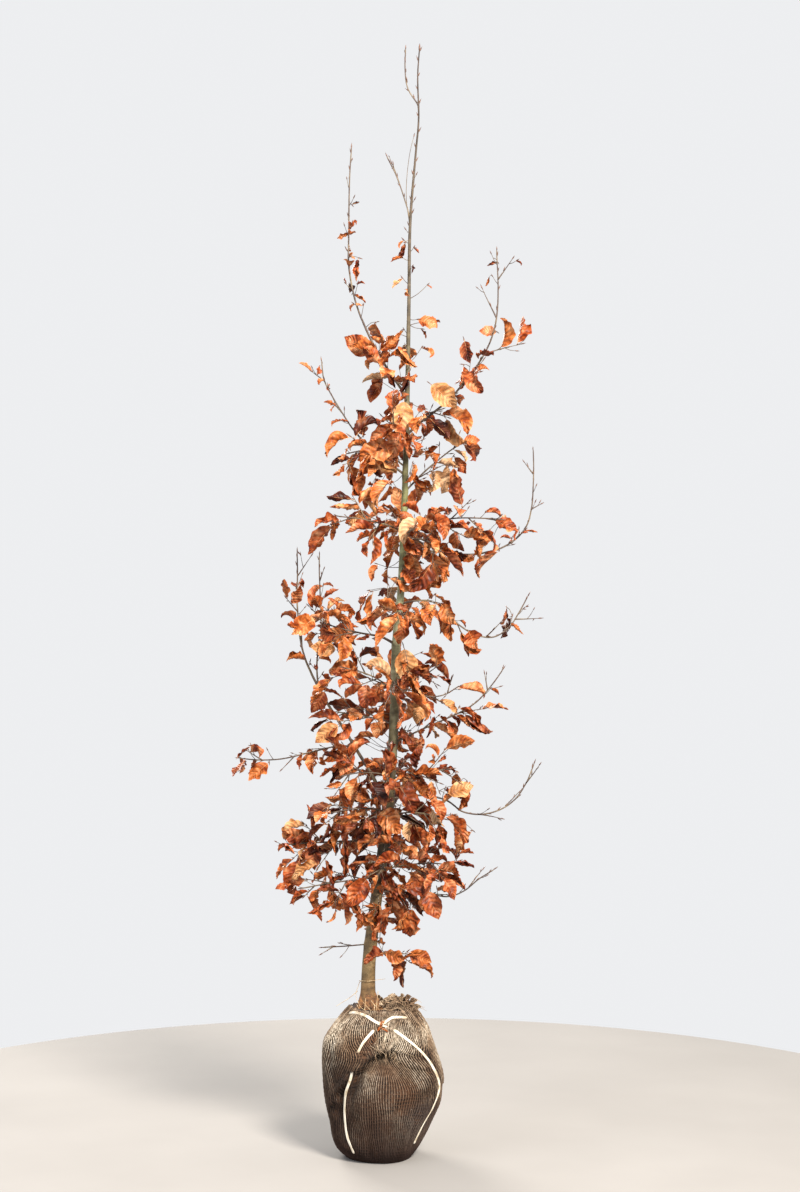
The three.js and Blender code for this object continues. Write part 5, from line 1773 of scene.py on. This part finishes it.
def smooth_beech_bark(tree):
    """Beech bark on a nursery stem: thin and smooth, khaki at its foot, dark brown with patches of algae
    green above it, pale grey-green at half height and brown again up its leader, with soft blotches some
    centimetres across and soil rubbed into the foot."""
    place = add(tree, "ShaderNodeTexCoord").outputs["Object"]
    height = add(tree, "ShaderNodeSeparateXYZ", inputs={"Vector": place}).outputs["Z"]
    warp = add(tree, "ShaderNodeTexNoise", inputs={"Vector": place, "Scale": per_metre(70), "Detail": 3.0})
    shifted = add(tree, "ShaderNodeMath", {"operation": "MULTIPLY_ADD"}, {
        0: warp.outputs["Fac"], 1: 90 * MM, 2: height,
    })
    share = add(tree, "ShaderNodeMapRange", inputs={
        "Value": shifted.outputs[0], "From Min": TRUNK["foot"] * MM, "From Max": TRUNK["tip"] * MM,
    })
    by_height = add(tree, "ShaderNodeValToRGB", inputs={"Fac": share.outputs[0]}, stops=[
        (0.0, "#684a2c"), (0.035, "#785a38"), (0.075, "#86704a"), (0.13, "#7b6746"), (0.17, "#51452f"),
        (0.26, "#5c5136"), (0.33, "#7a765a"), (0.365, "#a9ac8c"), (0.46, "#9b9f7e"), (0.53, "#7e8455"),
        (0.6, "#686243"), (0.76, "#5d5140"), (1.0, "#4a3a30"),
    ])
    flat = add(tree, "ShaderNodeMapping", inputs={"Vector": place, "Scale": (1.0, 1.0, 1.5)}).outputs[0]
    blotches = patchy(tree, 30, 5.0, [
        (0.34, "#6e6656"), (0.68, "#ffffff"), (0.46, "#aea894"), (0.55, "#dcd8cc"),
    ], 0.62, flat)
    mottled = add(tree, "ShaderNodeMix", {"data_type": "RGBA", "blend_type": "MULTIPLY"}, {
        0: 0.9, 6: by_height.outputs[0], 7: blotches,
    })
    grain = dented(tree, 4, 4.0, 0.5, 0.5, 0.6, flat)
    return {"Base Color": mottled.outputs[2], "Roughness": 0.68, "Normal": grain}


def young_beech_bark(tree):
    """One to three year old beech wood: thin bark, purplish grey-brown, paler and greener in streaks."""
    streaks = [(0.34, "#362820"), (0.68, "#78694f"), (0.45, "#4a3a2f"), (0.56, "#5f503e")]
    grain = dented(tree, 2.5, 2.0, 0.4, 0.2)
    return {"Base Color": patchy(tree, 38, 4.0, streaks), "Roughness": 0.6, "Normal": grain}


def beech_bud_scales(tree):
    """Overlapping bud scales: chestnut brown with a satin skin and paler edges."""
    scales = [(0.35, "#38221a"), (0.68, "#80573a"), (0.5, "#573524")]
    return {"Base Color": patchy(tree, 3, 2.0, scales), "Roughness": 0.48}


def dry_beech_blade(tint, value):
    """A winter leaf: parchment thin and dry, one tint with darker and paler stains, and a low satin sheen.
    Value darkens it for the troughs between the veins: painted shade."""

    def make(tree):
        _, dark, plain, light = LEAF_TINTS[tint]
        colour = patchy(tree, 26, 5.0, [(0.38, dark), (0.68, light), (0.51, plain)], 0.6)
        shaded = add(tree, "ShaderNodeHueSaturation", inputs={"Color": colour, "Value": value})
        return {
            "Base Color": shaded.outputs[0],
            "Roughness": 0.45,
            "Specular IOR Level": 0.2,
            "Normal": dented(tree, 2.2, 3.0, 0.35, 0.25),
        }

    return make


def leaf_rib_wood(tree):
    """Stalk and middle rib: tough, smooth and paler than the blade."""
    return {"Base Color": patchy(tree, 30, 2.0, [(0.35, "#8f5730"), (0.65, "#c39463")]), "Roughness": 0.5}


def jute(pale, brown, stained):
    """Hessian yarn: spun jute, hairy and matt, bleached on the bulges, stained brown by the soil within and
    grey low on one side, darker towards the foot with damp and with painted shade, and with painted shade on
    its left side and in the hollow under its deep crease."""

    def make(tree):
        place = add(tree, "ShaderNodeTexCoord").outputs["Object"]
        soaked = patchy(tree, 85, 4.0, [(0.36, stained), (0.62, pale), (0.48, brown)], 0.6)
        uneven = patchy(tree, 7, 4.0, [(0.34, "#7c7264"), (0.66, "#ffffff")])
        yarn_colour = add(tree, "ShaderNodeMix", {"data_type": "RGBA", "blend_type": "MULTIPLY"}, {
            0: 0.85, 6: soaked, 7: uneven,
        }).outputs[2]
        # Soil stains, and patches of painted shade on the left side, in the crease's hollow and low on the
        # front.
        for middle, reach, strength, stain_and_shade in STAINS_AND_PAINTED_SHADE:
            yarn_colour = add(tree, "ShaderNodeMix", {"data_type": "RGBA"}, {
                0: patch(tree, place, middle, reach, strength), 6: yarn_colour, 7: linear(stain_and_shade),
            }).outputs[2]
        # The yarn is darker the lower it lies: damp, and painted shade towards the foot.
        height = add(tree, "ShaderNodeSeparateXYZ", inputs={"Vector": place}).outputs["Z"]
        low_shade_and_wet = add(tree, "ShaderNodeMapRange", inputs={
            "Value": height, "From Min": 20 * MM, "From Max": 280 * MM, "To Min": 1.0, "To Max": 0.0,
        })
        shade_and_damp_colour = add(tree, "ShaderNodeMix", {"data_type": "RGBA"}, {
            0: low_shade_and_wet.outputs[0], 6: yarn_colour, 7: linear("#2c180e"),
        })
        return {"Base Color": shade_and_damp_colour.outputs[2], "Roughness": 0.95, "Normal": dented(tree, 1.2, 2.0, 0.6, 0.3)}

    return make


def patch(tree, place, middle, reach, strength):
    """How far a point belongs to a round patch of the cloth, from 0 to the patch's strength."""
    middle = [v * MM for v in middle]
    apart = add(tree, "ShaderNodeVectorMath", {"operation": "DISTANCE"}, {0: place, 1: middle})
    within = add(tree, "ShaderNodeMapRange", {"interpolation_type": "SMOOTHSTEP"}, {
        "Value": apart.outputs["Value"], "From Min": reach * 0.3 * MM, "From Max": reach * MM,
        "To Min": strength, "To Max": 0.0,
    })
    return within.outputs[0]


def soil_caked_jute(tree):
    """What shows between the threads: jute fluff caked with loam, dark and crumbly."""
    colour = patchy(tree, 22, 6.0, [(0.34, "#17100b"), (0.66, "#553823"), (0.5, "#2c1f16")], 0.65)
    return {"Base Color": colour, "Roughness": 1.0, "Normal": dented(tree, 22, 6.0, 0.9, 2, 0.65)}


def leafy_loam(tree):
    """The root collar: bark rubbed over with damp loam and orange-brown leaf crumbs."""
    colour = patchy(tree, 8, 5.0, [(0.34, "#3b2a1d"), (0.66, "#96693f"), (0.5, "#68492f")], 0.7)
    return {"Base Color": colour, "Roughness": 0.95, "Normal": dented(tree, 8, 5.0, 0.8, 1.5, 0.7)}


def dry_straw(tree):
    """Dead root fibre and straw: pale, smooth and a little shiny."""
    return {"Base Color": patchy(tree, 14, 3.0, [(0.35, "#94754f"), (0.65, "#cbb690")]), "Roughness": 0.6}


def flat_poly_twine(tree):
    """Flat white baling twine: drawn film, creased lengthways, slightly glossy and dusty in its folds."""
    dusty = patchy(tree, 18, 4.0, [(0.34, "#b3a184"), (0.6, "#eae2d2"), (0.46, "#d9ceb8")])
    return {"Base Color": dusty, "Roughness": 0.5, "Normal": dented(tree, 1.5, 2.0, 0.35, 0.3)}


def pale_painted_floor(tree):
    """A plain pale floor with a trace of unevenness."""
    return {"Base Color": patchy(tree, 400, 3.0, [(0.2, "#8d8a86"), (0.8, "#95928e")]), "Roughness": 0.8}


# ---- Assembly ------------------------------------------------------------------------------------


def build_plant():
    grown_crown()
    spurs = grown_trunk_spurs()
    bough_nodes, spray_nodes = [
        [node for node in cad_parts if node.startswith(kind)] for kind in ("bough_", "spray_")
    ]
    piece("trunk_bark", trunk_bark(), material(smooth_beech_bark), ["trunk"])
    wood = material(young_beech_bark)
    piece("boughs", all_boughs(), wood, bough_nodes)
    twigs, buds = all_twigs(spurs)
    piece("twigs", twigs, wood, spray_nodes)
    piece("buds", buds, material(beech_bud_scales))
    heaps, ribs = all_leaves(spurs)
    for tint, heap in heaps.items():
        ridges = material(dry_beech_blade(tint, 1.0), "dry_beech_" + tint)
        # The troughs' copy is darker: painted shade between the veins.
        painted_trough_shade = material(dry_beech_blade(tint, TROUGH_SHADE), "dry_beech_" + tint + "_trough")
        piece("leaves_" + tint, heap, ridges + painted_trough_shade)
    piece("leaf_ribs", ribs, material(leaf_rib_wood))


def build_root_ball():
    warp, weft, under = hessian()
    warp_yarn = material(jute("#d2c5b0", "#a08970", "#6e543d"), "jute_warp")
    weft_yarn = material(jute("#6e5d49", "#4e3e2f", "#33271d"), "jute_weft")
    loose_yarn = material(jute("#e0d0b6", "#b99f80", "#85664a"), "jute_loose")
    fluff = material(jute("#80674c", "#5f4835", "#3d2c1f"), "jute_fluff")
    piece("hessian_cloth", under, material(soil_caked_jute), ["root_ball"])
    piece("hessian_warp", warp, warp_yarn)
    piece("hessian_weft", weft, weft_yarn)
    threads, strips, frays = ruffles()
    pinch_frays(frays)
    piece("gathered_cloth", strips, fluff)
    piece("gathered_threads", threads, loose_yarn)
    piece("frayed_ends", frays, loose_yarn)
    piece("root_collar", root_collar(), material(leafy_loam))
    piece("root_fibres", straws(), material(dry_straw))
    film = material(flat_poly_twine)
    for name, route in TWINE_ROUTES.items():
        piece("strand_" + name.split("_")[1], twine_strand(route), film, [name])
    piece("twine_knot", twine_knot(), film)


def build_floor():
    heap = Heap()
    rings, sides = 12, 96
    share, angle = np.meshgrid(np.linspace(0.02, 1, rings), round_angles(sides), indexing="ij")
    flat = ring_points(0, 0, share * FLOOR_RADIUS, angle, -FLOOR_DROP)
    points = np.concatenate([flat.reshape(-1, 3), [[0, 0, -FLOOR_DROP]]])
    around = np.arange(sides)
    fan = np.stack([np.full(sides, rings * sides), around, (around + 1) % sides], axis=1)
    heap.add(points, grid_quads(rings, sides, True)[:, ::-1], fan)
    placed("floor", heap.mesh("floor", material(pale_painted_floor)))


def soft_light(name, place, aim, width, power, colour):
    """A large square lamp that points at a place, for soft shadows."""
    data = bpy.data.lights.new(name, "AREA")
    data.size, data.energy, data.color = width * MM, power, linear(colour)[:3]
    lamp = placed(name, data)
    lamp.location = [v * MM for v in place]
    toward = Vector([(a - p) * MM for a, p in zip(aim, place)])
    lamp.rotation_euler = toward.to_track_quat("-Z", "Y").to_euler()


def set_stage():
    build_floor()
    soft_light("key", [1900, -3600, 3900], [0, 0, 1100], 1300, 640, "#fff6ec")
    soft_light("fill", [-3200, -2600, 2000], [0, 0, 1100], 2200, 60, "#eef3ff")
    soft_light("back", [-1900, 3600, 3000], [0, 0, 1000], 1800, 220, "#fff8f0")
    world = bpy.data.worlds.new("studio")
    world.use_nodes = True
    world.node_tree.nodes["Background"].inputs["Color"].default_value = linear("#f4f5f7")
    world.node_tree.nodes["Background"].inputs["Strength"].default_value = 0.94
    bpy.context.scene.world = world
    bpy.context.scene.view_settings.view_transform = "Standard"
    data = bpy.data.cameras.new("camera")
    data.lens, data.sensor_width = CAMERA["lens"], CAMERA["sensor"]
    camera = placed("camera", data)
    camera.location = [CAMERA["right"] * MM, CAMERA["back"] * MM, CAMERA["height"] * MM]
    camera.rotation_euler = (math.radians(90), 0, 0)
    bpy.context.scene.camera = camera


set_stage()
build_plant()
build_root_ball()

bpy.context.view_layer.update()
